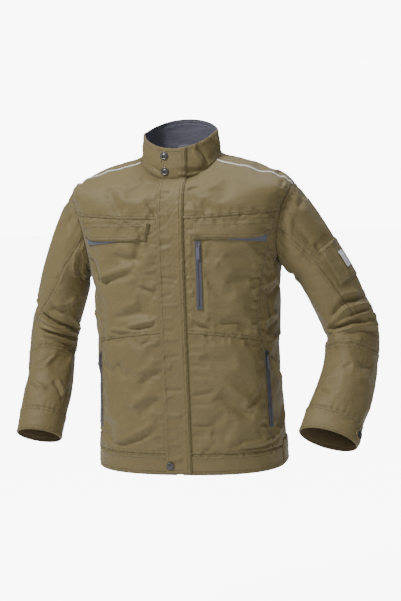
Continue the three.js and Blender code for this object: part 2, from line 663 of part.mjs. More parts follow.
function addSleeve(name, sleeve) {
  const { length, point } = sleeve;
  const grid = (from, to, s0, s1, rows) => (
    steps(from * MARK, to * MARK, to - from).map((beta) => steps(s0, s1, rows).map((s) => [beta, s])));
  const panel = (kind, domain, low, high, shape) => (
    add(`${kind}_${name}`, panelGeometry(point, domain, low, high, shape), KHAKI));
  const [elbow, forearm, wrist] = [length * ELBOW.start, length * ELBOW.end, length - CUFF];
  const head = 2 * CLEARANCE;
  panel('upper_sleeve', grid(UNDER_MARK - ARMHOLE_STEPS, SLEEVE_MARK, head, elbow, 6), -CLOTH, 0);
  panel('under_sleeve', grid(SLEEVE_MARK, UNDER_MARK, head, elbow, 6), -CLOTH, 0);
  const ring = (s0, s1, rows) => grid(0, ARMHOLE_STEPS - 1, s0, s1, rows);
  panel('elbow', ring(elbow, forearm, 3), -CLOTH, 0, { wraps: true });
  panel('forearm', ring(forearm, wrist, 5), -CLOTH, 0, { wraps: true });
  panel('cuff', ring(wrist, length, 2), -CLOTH, HEM_LAYERS.outside, { wraps: true });

  const low = HEM_LAYERS.outside + LAYER;
  const tab = [wrist + CUFF_TAB.inset, wrist + CUFF_TAB.inset + CUFF_TAB.height];
  const [from, to] = [CUFF_TAB.from + CUFF_TURN[name], CUFF_TAB.to + CUFF_TURN[name]];
  panel('cuff_tab', rectangle(from, to, ...tab, 7, 1), low, low + CLOTH);
  const spot = [to - CUFF_TAB.stud, (tab[0] + tab[1]) / 2];
  addSnap(`snap_cuff_${name}`, point(...spot), outwardNormal(point, spot), low + CLOTH + 2 * CLEARANCE);
}

// The pocket on the sleeve and the plain badge on it.
function addSleevePocket({ point }) {
  const { from, to, top, bottom, thick } = SLEEVE_POCKET;
  const pocket = rectangle(from, to, top, bottom, 9, 4);
  add('sleeve_pocket', panelGeometry(point, pocket, LAYER, LAYER + thick), KHAKI);
  const spot = [LABEL.beta, LABEL.s];
  const down = point(LABEL.beta, LABEL.s + 1).sub(point(LABEL.beta, LABEL.s - 1)).normalize();
  const centre = point(...spot);
  const low = centre.clone().addScaledVector(down, LABEL.height / 2);
  const badge = new THREE.BoxGeometry(LABEL.width, LABEL.height, LABEL.thick);
  badge.translate(0, LABEL.height / 2, LABEL.thick / 2);
  const mesh = add('sleeve_label', badge, PALE);
  mesh.applyMatrix4(frameOn(low, centre, outwardNormal(point, spot), LAYER + thick + CLEARANCE));
}

// Loop of tape inside the back of the neck, sewn on at both ends.
function addHangerLoop() {
  const top = bodyPoint(Math.PI, NECK + LOOP.above);
  const wall = top.y - 2 * CLOTH - 2 * CLEARANCE - LOOP.thick;
  const path = new THREE.CatmullRomCurve3([
    new THREE.Vector3(-LOOP.span / 2, wall - 1.2, top.z - 2),
    new THREE.Vector3(-LOOP.span / 3, wall - LOOP.reach * 0.7, top.z),
    new THREE.Vector3(0, wall - LOOP.reach, top.z + LOOP.drop / 3),
    new THREE.Vector3(LOOP.span / 3, wall - LOOP.reach * 0.7, top.z),
    new THREE.Vector3(LOOP.span / 2, wall - 1.2, top.z - 2),
  ]);
  const section = new THREE.Shape([
    new THREE.Vector2(-LOOP.width / 2, -LOOP.thick / 2), new THREE.Vector2(LOOP.width / 2, -LOOP.thick / 2),
    new THREE.Vector2(LOOP.width / 2, LOOP.thick / 2), new THREE.Vector2(-LOOP.width / 2, LOOP.thick / 2),
  ]);
  add('hanger_loop', new THREE.ExtrudeGeometry(section, { steps: 14, extrudePath: path }), SLATE);
  return path.getPoint(0.5);
}

const rearSeam = addFront('left', SIDES.left);
addFront('right', SIDES.right);
addBack(rearSeam);
addHemBand();
addCollar();
addCentreFront();
addPockets();
addPiping();
addFrontSnaps();
for (const [name, side] of Object.entries(SIDES)) {
  const sleeve = makeSleeve(side, SLEEVE_LINES[name]);
  addSleeve(name, sleeve);
  if (side === SIDES.left) addSleevePocket(sleeve);
}
const hook = addHangerLoop();

// The origin is the middle of the hanger loop, where a hook bears.
jacket.position.copy(hook).negate();
const part = new THREE.Group();
part.add(jacket);

export default part;
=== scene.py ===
"""Looks of a cloth work jacket: creased twill panels, stitching, zips, studs, piping and a stage.

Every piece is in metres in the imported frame. The garment's own tables are in millimetres, with heights
measured from the hem and the centre line at x = 0, y = 0; to_frame() turns them into the frame's metres.
"""

import json
import math

import bmesh
import bpy
import numpy as np
from mathutils import Matrix, Vector

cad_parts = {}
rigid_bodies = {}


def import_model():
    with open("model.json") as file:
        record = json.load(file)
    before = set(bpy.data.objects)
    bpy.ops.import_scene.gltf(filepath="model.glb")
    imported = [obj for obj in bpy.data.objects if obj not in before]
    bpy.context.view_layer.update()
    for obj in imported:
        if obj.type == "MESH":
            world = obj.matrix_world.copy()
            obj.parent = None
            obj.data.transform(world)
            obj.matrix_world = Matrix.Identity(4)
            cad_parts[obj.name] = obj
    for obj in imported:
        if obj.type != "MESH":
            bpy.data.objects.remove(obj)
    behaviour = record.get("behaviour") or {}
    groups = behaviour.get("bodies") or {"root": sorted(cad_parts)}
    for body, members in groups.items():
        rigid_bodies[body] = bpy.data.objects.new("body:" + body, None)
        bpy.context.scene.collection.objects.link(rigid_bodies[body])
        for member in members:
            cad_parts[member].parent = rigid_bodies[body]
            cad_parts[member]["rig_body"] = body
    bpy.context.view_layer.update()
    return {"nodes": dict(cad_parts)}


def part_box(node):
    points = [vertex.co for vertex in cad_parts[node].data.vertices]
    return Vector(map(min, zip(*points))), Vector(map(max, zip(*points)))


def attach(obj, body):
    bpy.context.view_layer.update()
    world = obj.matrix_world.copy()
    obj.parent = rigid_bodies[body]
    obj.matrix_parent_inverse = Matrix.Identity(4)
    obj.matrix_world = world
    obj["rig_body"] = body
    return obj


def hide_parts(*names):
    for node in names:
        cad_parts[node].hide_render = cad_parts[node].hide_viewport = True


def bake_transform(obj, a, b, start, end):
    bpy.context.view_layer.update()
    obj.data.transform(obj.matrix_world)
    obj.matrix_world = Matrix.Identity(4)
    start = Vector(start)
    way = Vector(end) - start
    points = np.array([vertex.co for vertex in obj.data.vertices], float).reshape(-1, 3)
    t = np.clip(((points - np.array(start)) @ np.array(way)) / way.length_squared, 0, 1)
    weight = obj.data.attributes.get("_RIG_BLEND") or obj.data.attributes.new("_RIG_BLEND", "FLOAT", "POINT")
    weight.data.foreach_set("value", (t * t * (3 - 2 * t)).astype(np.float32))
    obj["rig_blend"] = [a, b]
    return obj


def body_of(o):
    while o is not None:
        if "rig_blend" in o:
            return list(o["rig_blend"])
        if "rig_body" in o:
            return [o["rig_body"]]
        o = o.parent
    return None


bl_info = {
    "name": "Work jacket",
    "version": (1, 0, 0),
    "blender": (4, 5, 0),
    "location": "3D View > Sidebar > Jacket",
    "description": "Makes the cloth, stitching and trim of a work jacket on its packed frame",
    "category": "Object",
}

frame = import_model()

# ---------------------------------------------------------------- the garment's place in the frame
MM = 0.001
HEM_OUT = 125.0                  # the back hem band's outer face behind the centre line
HEM_LOW = 0.3                    # the hem band's edge above the hem line
HOOK = np.array([
    0.0,
    HEM_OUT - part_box("hem_band_back")[1].y / MM,
    HEM_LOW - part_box("hem_band_back")[0].z / MM,
])
SIDES = {"left": 1, "right": -1}

# ---------------------------------------------------------------- driving dimensions, in millimetres
CLOTH = 1.5                      # thickness of one sewn panel
HEM_BAND = 44
WAIST_SEAM, WAIST_DROP = 302, 26
YOKE_SEAM = 540
NECK, COLLAR = 740, 68
FRONT_GAP = 7
FLAP_LEFT, FLAP_RIGHT, FLAP_LIFT = 26, -30, 1.9
ARMHOLE_HEIGHT, ARMHOLE_HALF, ARMHOLE_TURN, ARMHOLE_POWER = 525, 88, math.radians(17), 2.2
BACK_SEAM = math.radians(118)
SIDE_SPLIT = math.radians(97)
PIPING_NECK = math.radians(70)
YOKE_END, PIPING_END = math.radians(75), math.radians(15)
BACK_END, BACK_YOKE_END = math.radians(240), math.radians(270)
POCKET = {"inner": 46, "outer": 204, "top": 535, "bottom": 499, "chamfer": 24, "slant": 8, "lift": 2.6}
CHEST_ZIP = {"x": 57, "low": 353, "high": 496}
SIDE_ZIP = {"low": 92, "high": 255}
ELBOW_START, ELBOW_END = 0.47, 0.6
CUFF = 52
SLEEVE_HEAD = 130                # length over which a sleeve changes from the armhole's outline to a tube
CUFF_TAB = {"from": math.radians(-60), "to": math.radians(32), "tip": 22, "inset": 20, "height": 24}
CUFF_STUD = math.radians(21)
BADGE = {"turn": math.radians(12), "place": 130, "width": 25, "height": 38}
CUFF_TURN = {"left": 0.0, "right": math.radians(-85)}
HEM_TAB = {"from": math.radians(82), "to": math.radians(99), "low": 3, "high": 56}
SLEEVE_POCKET = {"from": math.radians(-35), "to": math.radians(60), "top": 95, "bottom": 168}
ACCENT = {"inner": 116, "length": 80, "low": 1, "slope": 9, "tuck": 8}
POCKET_BAG = {"from": math.radians(22), "to": math.radians(64), "low": 74, "high": 262}
SEAM_ROWS = (2.0, 8.0)           # distance of the two rows of topstitching from a seam
ZIP_END = 0.004                  # length in metres at each end of a tape that bears no teeth
NO_SEAM = 0.1                    # a distance in metres at which a seam no longer shows in the cloth

# ring height, side z, half width, front half depth, back half depth, roundness, front z, back z
RINGS = np.array([
    [0, 0, 206, 135, 124, 2.5, 0, 0],
    [44, 44, 204, 135, 124, 2.5, 44, 44],
    [110, 110, 200, 135, 123, 2.5, 110, 110],
    [260, 260, 196, 136, 122, 2.5, 260, 260],
    [300, 300, 196.5, 136, 122, 2.5, 300, 300],
    [360, 360, 200, 135.5, 122, 2.5, 360, 360],
    [413, 413, 204.5, 134.5, 122, 2.55, 413, 413],
    [460, 460, 212, 133, 121, 2.65, 460, 460],
    [500, 500, 220, 131, 120, 2.75, 500, 500],
    [540, 540, 230, 127, 118, 2.85, 540, 540],
    [575, 574, 238, 121, 114, 2.9, 571, 574],
    [598, 594, 243, 115, 109, 2.9, 588, 593],
    [620, 611, 236, 108, 102, 2.85, 600, 612],
    [645, 628, 212, 101, 94, 2.7, 608, 632],
    [675, 644, 176, 94, 86, 2.5, 613, 651],
    [710, 660, 130, 86, 76, 2.3, 618, 668],
    [740, 672, 89, 78, 66, 2.15, 622, 683],
    [774, 697, 84.5, 74, 63.5, 2.1, 655, 716],
    [808, 723, 80, 70, 61, 2.1, 688, 749],
], float)
# middle line of each sleeve: x, y, z, radius across, radius fore and aft
SLEEVE_ROWS = {
    "left": np.array([
        [224, 0, 524, 60, 66], [272, 3, 458, 54, 62], [311, 6, 391, 54, 60], [352, 10, 289, 56, 57],
        [352, -12, 222, 57, 53], [341, -55, 164, 59, 49], [321, -100, 104, 61, 46], [314, -122, 78, 62, 45],
    ], float),
    "right": np.array([
        [-224, 0, 524, 60, 66], [-257, 3, 465, 53, 62], [-284, 8, 383, 52, 59], [-308, 14, 308, 52, 56],
        [-316, 0, 247, 51, 53], [-314, -40, 177, 51, 50], [-319, -86, 104, 50, 46], [-321, -103, 76, 49, 44],
    ], float),
}
PRINCESS = np.array([
    [0, 71], [90, 70.5], [255, 69.5], [284, 66], [300, 64.8], [385, 65.5], [444, 67.4], [496, 68.9],
    [550, 70.2],
], float) * np.array([1, math.radians(1)])

# ---------------------------------------------------------------- creases, listed one by one
# Each fold is a line of (degrees round, mm along), its half width and its height in millimetres.
TRUNK_FOLDS = [
    ([(-57, 638), (-45, 566), (-40, 550)], 11, -3.0),
    ([(-51, 640), (-38, 572)], 14, 2.2),
    ([(-24, 582), (-12, 548)], 8, -2.8),
    ([(-30, 590), (-17, 556)], 9, 1.8),
    ([(-49, 728), (-14, 636)], 12, -2.4),
    ([(16, 622), (36, 650)], 9, -2.0),
    ([(20, 600), (46, 640)], 14, 1.6),
    ([(-42, 550), (-34, 536), (-27, 524)], 6, 1.6),
    ([(-48, 472), (-38, 458), (-25, 462)], 10, -3.0),
    ([(-46, 488), (-30, 474)], 10, 2.2),
    ([(-63, 418), (-44, 438), (-33, 444)], 9, 3.2),
    ([(-62, 404), (-42, 424), (-30, 430)], 9, -2.6),
    ([(-68, 462), (-65, 400)], 9, -6.0),
    ([(-58, 470), (-56, 410)], 10, 2.4),
    ([(28, 474), (39, 454)], 12, -2.0),
    ([(-41, 318), (-28, 326), (-14, 332)], 5, 3.4),
    ([(-41, 309), (-28, 316), (-14, 323)], 5, -2.6),
    ([(-54, 312), (-30, 309)], 4.5, 2.4),
    ([(-52, 334), (-30, 346), (-16, 344)], 9, -3.0),
    ([(-45, 356), (-28, 372)], 10, 2.6),
    ([(-27, 402), (-14, 382)], 7, -2.8),
    ([(-30, 412), (-15, 396)], 7, 2.2),
    ([(-29, 280), (-19, 290)], 4, -2.2),
    ([(-28, 275), (-13, 284)], 4, 1.8),
    ([(-37, 210), (-14, 248)], 13, 2.8),
    ([(-34, 190), (-12, 226)], 12, -2.6),
    ([(-49, 238), (-44, 202)], 10, -2.4),
    ([(-34, 124), (-15, 170)], 13, -3.2),
    ([(-40, 142), (-20, 190)], 12, 2.6),
    ([(-55, 64), (-34, 92), (-18, 118)], 8, 2.8),
    ([(-52, 56), (-34, 76), (-20, 92)], 7, -2.4),
    ([(14, 336), (32, 320)], 5, 2.6),
    ([(14, 326), (30, 311)], 4, -2.0),
    ([(37, 322), (53, 326)], 8, -1.6),
    ([(33, 176), (42, 154), (57, 114)], 14, -3.4),
    ([(38, 196), (50, 168), (62, 130)], 13, 2.6),
    ([(27, 90), (41, 82)], 9, -2.4),
    ([(46, 60), (62, 63), (76, 68)], 6, 2.6),
    ([(46, 52), (62, 54), (76, 58)], 5, -1.8),
    ([(53, 140), (62, 164), (70, 190)], 9, -2.6),
    ([(20, 250), (34, 240), (48, 244)], 13, -1.6),
    ([(76, 300), (73, 360), (72, 410)], 8, -4.0),
    ([(68, 392), (81, 416)], 7, 3.0),
    ([(73, 368), (88, 392)], 7, -3.0),
    ([(68, 322), (85, 336)], 7, 3.0),
    ([(72, 300), (88, 318)], 6, -2.6),
    ([(74, 276), (97, 286)], 7, 2.6),
    ([(74, 240), (84, 200), (91, 176)], 7, 4.0),
    ([(78, 246), (90, 200), (97, 180)], 7, -3.0),
    ([(76, 76), (88, 92), (96, 120)], 8, 3.0),
    ([(76, 430), (84, 452), (90, 430)], 8, -3.0),
    ([(36, 806), (48, 778), (56, 742)], 8, -3.0),
    ([(30, 800), (40, 772), (48, 750)], 8, 2.0),
    ([(72, 796), (89, 752)], 8, 2.6),
    ([(82, 800), (98, 760)], 8, -2.2),
    ([(-60, 741), (-17, 738), (19, 744), (43, 738), (64, 741)], 5, -2.4),
    ([(4, 762), (30, 750), (56, 741)], 4, -2.4),
    ([(4, 756), (30, 744), (54, 734)], 4, 2.2),
    ([(15, 771), (42, 752)], 4, 1.6),
    ([(-40, 760), (-20, 752)], 5, -1.6),
    ([(120, 340), (150, 352), (172, 346)], 9, -3.0),
    ([(124, 360), (150, 370), (176, 360)], 9, 2.6),
    ([(-120, 330), (-150, 344), (-172, 340)], 9, -3.0),
    ([(-124, 352), (-150, 360), (-176, 352)], 9, 2.6),
    ([(112, 440), (132, 470), (150, 520)], 11, -3.2),
    ([(118, 430), (140, 462), (160, 500)], 11, 2.4),
    ([(-112, 440), (-132, 470), (-150, 520)], 11, -3.2),
    ([(-118, 430), (-140, 462), (-160, 500)], 11, 2.4),
    ([(130, 90), (150, 120), (170, 170)], 12, -3.0),
    ([(-126, 100), (-146, 140), (-164, 200)], 12, -3.0),
    ([(110, 150), (118, 210), (122, 260)], 10, 2.6),
    ([(-108, 140), (-116, 200), (-122, 250)], 10, 2.6),
    ([(-75, 330), (-90, 345), (-100, 352)], 7, 3.0),
    ([(-76, 380), (-88, 400)], 7, -3.0),
    ([(-80, 230), (-92, 190)], 8, 3.0),
]
SLEEVE_FOLDS = {
    "left": [
        ([(71, 30), (65, 86)], 10, -2.6),
        ([(56, 80), (61, 108)], 8, -3.2),
        ([(90, 70), (90, 116)], 8, -2.4),
        ([(40, 30), (30, 90)], 12, 1.8),
        ([(20, 202), (65, 186), (93, 192)], 8, 4.0),
        ([(-10, 220), (40, 206), (70, 196), (98, 210), (122, 232)], 7, -6.5),
        ([(-4, 236), (40, 222), (80, 212), (104, 224), (134, 238)], 7, 5.0),
        ([(20, 240), (60, 232), (90, 238)], 5, -3.0),
        ([(-12, 262), (40, 244), (80, 240), (121, 244)], 6, 4.6),
        ([(40, 258), (79, 250), (106, 252), (140, 248)], 5.5, -8.0),
        ([(-12, 272), (30, 270), (76, 266), (121, 276)], 6, 3.6),
        ([(13, 284), (64, 280), (110, 294)], 6, -3.0),
        ([(60, 300), (96, 310)], 8, 2.0),
        ([(130, 412), (102, 420)], 6, -2.6),
        ([(146, 440), (108, 450)], 6, -2.6),
        ([(140, 430), (104, 436)], 6, 2.0),
        ([(104, 440), (80, 450)], 5, 2.0),
        ([(98, 388), (82, 368)], 6, -2.4),
        ([(65, 374), (40, 362), (18, 350)], 8, -3.0),
        ([(70, 400), (30, 384)], 10, 2.0),
        ([(170, 150), (200, 190), (220, 230)], 12, -3.4),
        ([(150, 60), (190, 90), (220, 100)], 10, -3.0),
        ([(160, 100), (195, 130)], 10, 2.6),
        ([(200, 236), (250, 250), (300, 246)], 9, -3.4),
        ([(210, 262), (260, 272), (310, 266)], 9, 3.0),
        ([(190, 300), (240, 320), (290, 312)], 9, -2.6),
        ([(260, 360), (300, 400), (320, 440)], 12, -2.6),
    ],
    "right": [
        ([(55, 26), (80, 36)], 9, -2.4),
        ([(108, 16), (128, 40), (150, 80), (159, 124)], 8, -6.0),
        ([(96, 24), (114, 60), (130, 100)], 9, 3.6),
        ([(139, 6), (165, 12), (190, 22)], 8, -5.0),
        ([(150, 40), (172, 70)], 8, 3.4),
        ([(83, 178), (110, 184), (132, 160)], 6, -5.0),
        ([(90, 168), (118, 168), (147, 146)], 7, 4.0),
        ([(10, 196), (36, 198), (86, 211), (130, 222), (176, 240)], 7, -8.0),
        ([(20, 184), (60, 190), (84, 196)], 9, 4.4),
        ([(24, 214), (56, 218), (106, 230), (180, 252)], 7, 5.0),
        ([(60, 252), (90, 257), (122, 260), (186, 262)], 4.5, -5.0),
        ([(66, 243), (100, 247), (150, 254)], 5, 3.4),
        ([(64, 264), (100, 270), (124, 273), (180, 270)], 4.5, 3.8),
        ([(74, 276), (122, 288), (163, 284)], 4.5, -3.4),
        ([(131, 184), (160, 210), (193, 244)], 7, 4.0),
        ([(63, 364), (96, 354), (119, 328)], 6, 2.4),
        ([(58, 356), (92, 346), (112, 322)], 6, -1.8),
        ([(60, 386), (84, 398), (105, 410)], 6, 3.4),
        ([(54, 394), (78, 408)], 5, -2.6),
        ([(116, 384), (134, 400), (146, 414)], 5, -3.6),
        ([(128, 380), (146, 396), (152, 412)], 5, 3.0),
        ([(176, 376), (166, 396), (158, 412)], 6, -3.0),
        ([(200, 226), (250, 240), (300, 236)], 9, -3.4),
        ([(210, 252), (260, 262), (310, 256)], 9, 3.0),
        ([(250, 340), (290, 380), (310, 420)], 12, -2.6),
        ([(190, 90), (215, 130)], 10, -3.0),
    ],
}
# long seams of the sleeves: (degrees round, mm down)
FRONT_SEAM = {
    "left": [(93, 0), (83, 90), (74, 160), (60, 268), (69, 354), (75, 412), (79, 510)],
    "right": [(99, 0), (99, 62), (91, 110), (79, 150), (48, 240), (36, 282), (49, 360), (66, 490)],
}
UNDER_SEAM = [(285, 0), (282, 200), (276, 340), (280, 510)]


def to_frame(points):
    """Garment millimetres to the frame's metres."""
    return (np.asarray(points, float) - HOOK) * MM


def wrapped(angle):
    return (angle + math.pi) % (2 * math.pi) - math.pi


def smooth(t):
    t = np.clip(t, 0, 1)
    return t * t * (3 - 2 * t)


def between(rows, at):
    """Smooth values between the rows of a table whose first column rises."""
    at = np.asarray(at, float)
    x = rows[:, 0]
    k = np.clip(np.searchsorted(x, at, side="right") - 1, 0, len(x) - 2)
    low = np.maximum(np.arange(len(x)) - 1, 0)
    high = np.minimum(np.arange(len(x)) + 1, len(x) - 1)
    slope = (rows[high, 1:] - rows[low, 1:]) / (x[high] - x[low])[:, None]
    span = (x[k + 1] - x[k])[..., None]
    t = (at[..., None] - x[k][..., None]) / span
    t2, t3 = t * t, t * t * t
    return (
        rows[k, 1:] * (2 * t3 - 3 * t2 + 1)
        + slope[k] * span * (t3 - 2 * t2 + t)
        + rows[k + 1, 1:] * (3 * t2 - 2 * t3)
        + slope[k + 1] * span * (t3 - t2)
    )


# ---------------------------------------------------------------- surfaces
class Surface:
    """A garment tube with u in radians round it and v in millimetres along it."""

    folds = ()
    depth = 1.7
    shift = None

    def calm(self, u, v):
        """0 where something flat is sewn on, so that the cloth lies still, and 1 elsewhere."""
        return np.ones(np.shape(u))

    def point(self, u, v):
        raise NotImplementedError

    def core(self, u, v):
        """A point inside the tube, to tell which way is out."""
        raise NotImplementedError

    def flat(self, u, v, around):
        """Places on the cloth as if laid flat, in millimetres, about the angle given."""
        raise NotImplementedError

    def normal(self, u, v):
        across = self.point(u + 0.01, v) - self.point(u - 0.01, v)
        along = self.point(u, v + 1) - self.point(u, v - 1)
        normal = np.cross(across, along)
        normal /= np.linalg.norm(normal, axis=-1, keepdims=True)
        inwards = ((self.point(u, v) - self.core(u, v)) * normal).sum(-1, keepdims=True) < 0
        return np.where(inwards, -normal, normal)

    def relief(self, u, v):
        """Height of the listed folds over the plain surface."""
        total = np.zeros(np.shape(u))
        for line, width, height in self.folds:
            angles = np.radians([p[0] for p in line])
            around = float(angles.mean())
            ends = np.stack(self.flat(angles, np.array([p[1] for p in line], float), around), -1)
            spots = np.stack(self.flat(u, v, around), -1)
            near = ((spots > ends.min(0) - 4 * width) & (spots < ends.max(0) + 4 * width)).all(-1)
            if near.any():
                total[near] += self.depth * height * fold_profile(spots[near], ends, width)
        return total

    def cloth(self, u, v, lift=0.0):
        u, v = np.broadcast_arrays(np.asarray(u, float), np.asarray(v, float))
        calm = self.calm(u, v)
        raised = self.relief(u, v) * calm + lift
        points = self.point(u, v) + self.normal(u, v) * raised[..., None]
        if self.shift is not None:
            points = points + self.shift(u, v) * calm[..., None]
        return points


def fold_profile(spots, ends, width):
    """1 on the fold's line, falling away to its sides and towards its two ends."""
    steps = np.linalg.norm(np.diff(ends, axis=0), axis=1)
    start = np.concatenate([[0], np.cumsum(steps)])
    best = np.full(len(spots), np.inf)
    along = np.zeros(len(spots))
    for i, step in enumerate(steps):
        way = (ends[i + 1] - ends[i]) / step
        t = np.clip((spots - ends[i]) @ way, 0, step)
        gap = np.linalg.norm(spots - ends[i] - t[:, None] * way, axis=1)
        closer = gap < best
        best[closer] = gap[closer]
        along[closer] = start[i] + t[closer]
    share = along / start[-1]
    taper = smooth(share / 0.25 + 0.15) * smooth((1 - share) / 0.3 + 0.1)
    return taper * (1 + (best / width) ** 2) ** -1.5


class Trunk(Surface):
    """The jacket's body: u is 0 at the centre front and 90 degrees at the wearer's left."""

    def __init__(self):
        angles = np.linspace(-math.pi, math.pi, 361)
        ring = self.point(angles, np.full(361, 300.0))[:, :2]
        lengths = np.concatenate([[0], np.cumsum(np.linalg.norm(np.diff(ring, axis=0), axis=1))])
        self.angles = angles
        self.lengths = lengths - lengths[180]

    def point(self, u, v):
        values = between(RINGS, v)
        z_side, half, front, back, power, z_front, z_back = np.moveaxis(values, -1, 0)
        sine, cosine = np.sin(u), np.cos(u)
        depth = np.where(cosine > 0, front, back)
        radius = ((abs(sine) / half) ** power + (abs(cosine) / depth) ** power) ** (-1 / power)
        y = -radius * cosine
        share = (abs(y) / depth) ** 1.5
        z = z_side + (np.where(cosine > 0, z_front, z_back) - z_side) * share
        return np.stack([radius * sine, y, z], -1)

    def core(self, u, v):
        point = self.point(u, v)
        below = np.array([0.0, 0.0, 30.0]) * smooth((v - 560) / 60)[..., None]
        return point * np.array([0.0, 0.0, 1.0]) - below

    def flat(self, u, v, around):
        return np.interp(wrapped(u), self.angles, self.lengths), np.asarray(v, float)

    def calm(self, u, v):
        angle = wrapped(u)
        chest = abs(angle - front_angle(CHEST_ZIP["x"], v)) * 150
        chest = np.maximum(chest, zip_gap(v, CHEST_ZIP))
        pocket = abs(abs(angle) - princess_angle(np.clip(v, 0, 550))) * 200
        pocket = np.maximum(pocket, zip_gap(v, SIDE_ZIP))
        return smooth((np.minimum(chest, pocket) - 8) / 9)


def zip_gap(v, place):
    """How far v is above or below a zip, in millimetres."""
    return np.maximum(np.maximum(place["low"] - v, v - place["high"]), 0) + 2


class Sleeve(Surface):
    """A sleeve: u is 0 on the outside and 90 degrees at the front, v runs down it."""

    ROUND = 57.0
    depth = 1.3

    def __init__(self, name):
        self.name = name
        self.side = SIDES[name]
        rows = SLEEVE_ROWS[name]
        steps = np.linalg.norm(np.diff(rows[:, :3], axis=0), axis=1)
        knots = np.concatenate([[0], np.cumsum(steps)])
        self.table = np.column_stack([knots, rows])
        self.length = knots[-1]
        self.folds = list(SLEEVE_FOLDS[name])

    def middle(self, v):
        return between(self.table, v)[..., :3]

    def axes(self, v):
        ahead = self.middle(v + 1) - self.middle(v - 1)
        ahead /= np.linalg.norm(ahead, axis=-1, keepdims=True)
        fore = np.array([0.0, -1.0, 0.0]) + ahead * ahead[..., 1:2]
        fore /= np.linalg.norm(fore, axis=-1, keepdims=True)
        out = np.cross(fore, ahead)
        out /= np.linalg.norm(out, axis=-1, keepdims=True)
        return ahead, fore, out * np.where(out[..., 0:1] * self.side < 0, -1, 1)

    def point(self, u, v):
        u, v = np.broadcast_arrays(np.asarray(u, float), np.asarray(v, float))
        values = between(self.table, v)
        centre = values[..., :3]
        _, fore, out = self.axes(v)
        sideways = out * (values[..., 3] * np.cos(u))[..., None]
        ring = centre + sideways + fore * (values[..., 4] * np.sin(u))[..., None]
        weight = smooth(v / SLEEVE_HEAD)[..., None]
        head = trunk.point(*armhole(u, self.side)) + centre - self.middle(np.zeros_like(v))
        return head * (1 - weight) + ring * weight

    def core(self, u, v):
        return self.middle(v)

    def flat(self, u, v, around):
        return wrapped(u - around) * self.ROUND, np.asarray(v, float)

    def calm(self, u, v):
        if self.name != "left":
            return np.ones(np.shape(u))
        side = abs(wrapped(u - BADGE["turn"])) * self.ROUND / BADGE["width"]
        down = abs(v - BADGE["place"]) / BADGE["height"]
        return smooth((np.maximum(side, down) - 0.5) / 0.5)


def armhole(beta, side):
    """The armhole's edge on the body, beta round it from its top over the front."""
    def rounded(value):
        return np.sign(value) * abs(value) ** (2 / ARMHOLE_POWER)
    angle = math.pi / 2 - ARMHOLE_TURN * rounded(np.sin(beta))
    return side * angle, ARMHOLE_HEIGHT + ARMHOLE_HALF * rounded(np.cos(beta))


class Shift:
    """How far the settled cloth moved, over a grid that closes round u."""

    def __init__(self, low, high, moves):
        self.low, self.high, self.moves = low, high, moves

    def __call__(self, u, v):
        columns, rows = self.moves.shape[:2]
        x = (np.asarray(u) / (2 * math.pi)) % 1.0 * columns
        y = np.clip((np.asarray(v) - self.low) / (self.high - self.low), 0, 1) * (rows - 1)
        i, j = np.floor(x).astype(int), np.minimum(np.floor(y).astype(int), rows - 2)
        total = 0.0
        for di, wx in zip(range(-1, 3), cubic_weights(x - i)):
            for dj, wy in zip(range(-1, 3), cubic_weights(y - j)):
                spot = self.moves[(i + di) % columns, np.clip(j + dj, 0, rows - 1)]
                total = total + spot * (wx * wy)[..., None]
        return total


def cubic_weights(t):
    return (
        ((2 - t) * t - 1) * t / 2,
        (t * t * (3 * t - 5) + 2) / 2,
        ((4 - 3 * t) * t + 1) * t / 2,
        (t - 1) * t * t / 2,
    )


trunk = Trunk()
sleeves = {name: Sleeve(name) for name in SIDES}


# ---------------------------------------------------------------- seam lines and panel outlines
def front_angle(x, v):
    return np.arctan2(x, between(RINGS, v)[..., 2])


def open_angle(v):
    return front_angle(FRONT_GAP, v)


def princess_angle(v):
    return between(PRINCESS, v)[..., 0]


def waist_height(angle):
    return WAIST_SEAM - WAIST_DROP * (abs(angle) / math.radians(70)) ** 2


def yoke_height(angle):
    end, height = armhole(YOKE_END, 1)
    return YOKE_SEAM + (height - YOKE_SEAM) * (abs(angle) / end) ** 2


def band_height(angle):
    return np.full(np.shape(angle), float(HEM_BAND))


def on_princess(rule):
    """Where a seam meets the princess seam: its angle and height."""
    v = float(rule(princess_angle(YOKE_SEAM)))
    for _ in range(8):
        v = float(rule(princess_angle(v)))
    return float(princess_angle(v)), v


def edge(u, v):
    """An outline's edge as (u, v) pairs."""
    u, v = np.broadcast_arrays(np.asarray(u, float), np.asarray(v, float))
    return np.stack([u, v], -1)


def joined_edge(first, last):
    """A straight edge between two (u, v) places."""
    share = np.linspace(0, 1, 20)[:, None]
    return np.asarray(first) * (1 - share) + np.asarray(last) * share


def respaced(line, count, surface):
    """The same edge with its points spread evenly along the cloth."""
    points = surface.point(line[:, 0], line[:, 1])
    run = np.concatenate([[0], np.cumsum(np.linalg.norm(np.diff(points, axis=0), axis=1))])
    at = np.linspace(0, run[-1], count)
    return np.stack([np.interp(at, run, line[:, k]) for k in (0, 1)], -1)


def filled(bottom, top, left, right):
    """Grid of (u, v) that fills the space between four edges."""
    u = np.linspace(0, 1, len(bottom))[:, None, None]
    v = np.linspace(0, 1, len(left))[None, :, None]
    return (
        (1 - v) * bottom[:, None] + v * top[:, None] + (1 - u) * left[None] + u * right[None]
        - (1 - u) * (1 - v) * bottom[0] - u * (1 - v) * bottom[-1]
        - (1 - u) * v * top[0] - u * v * top[-1]
    )


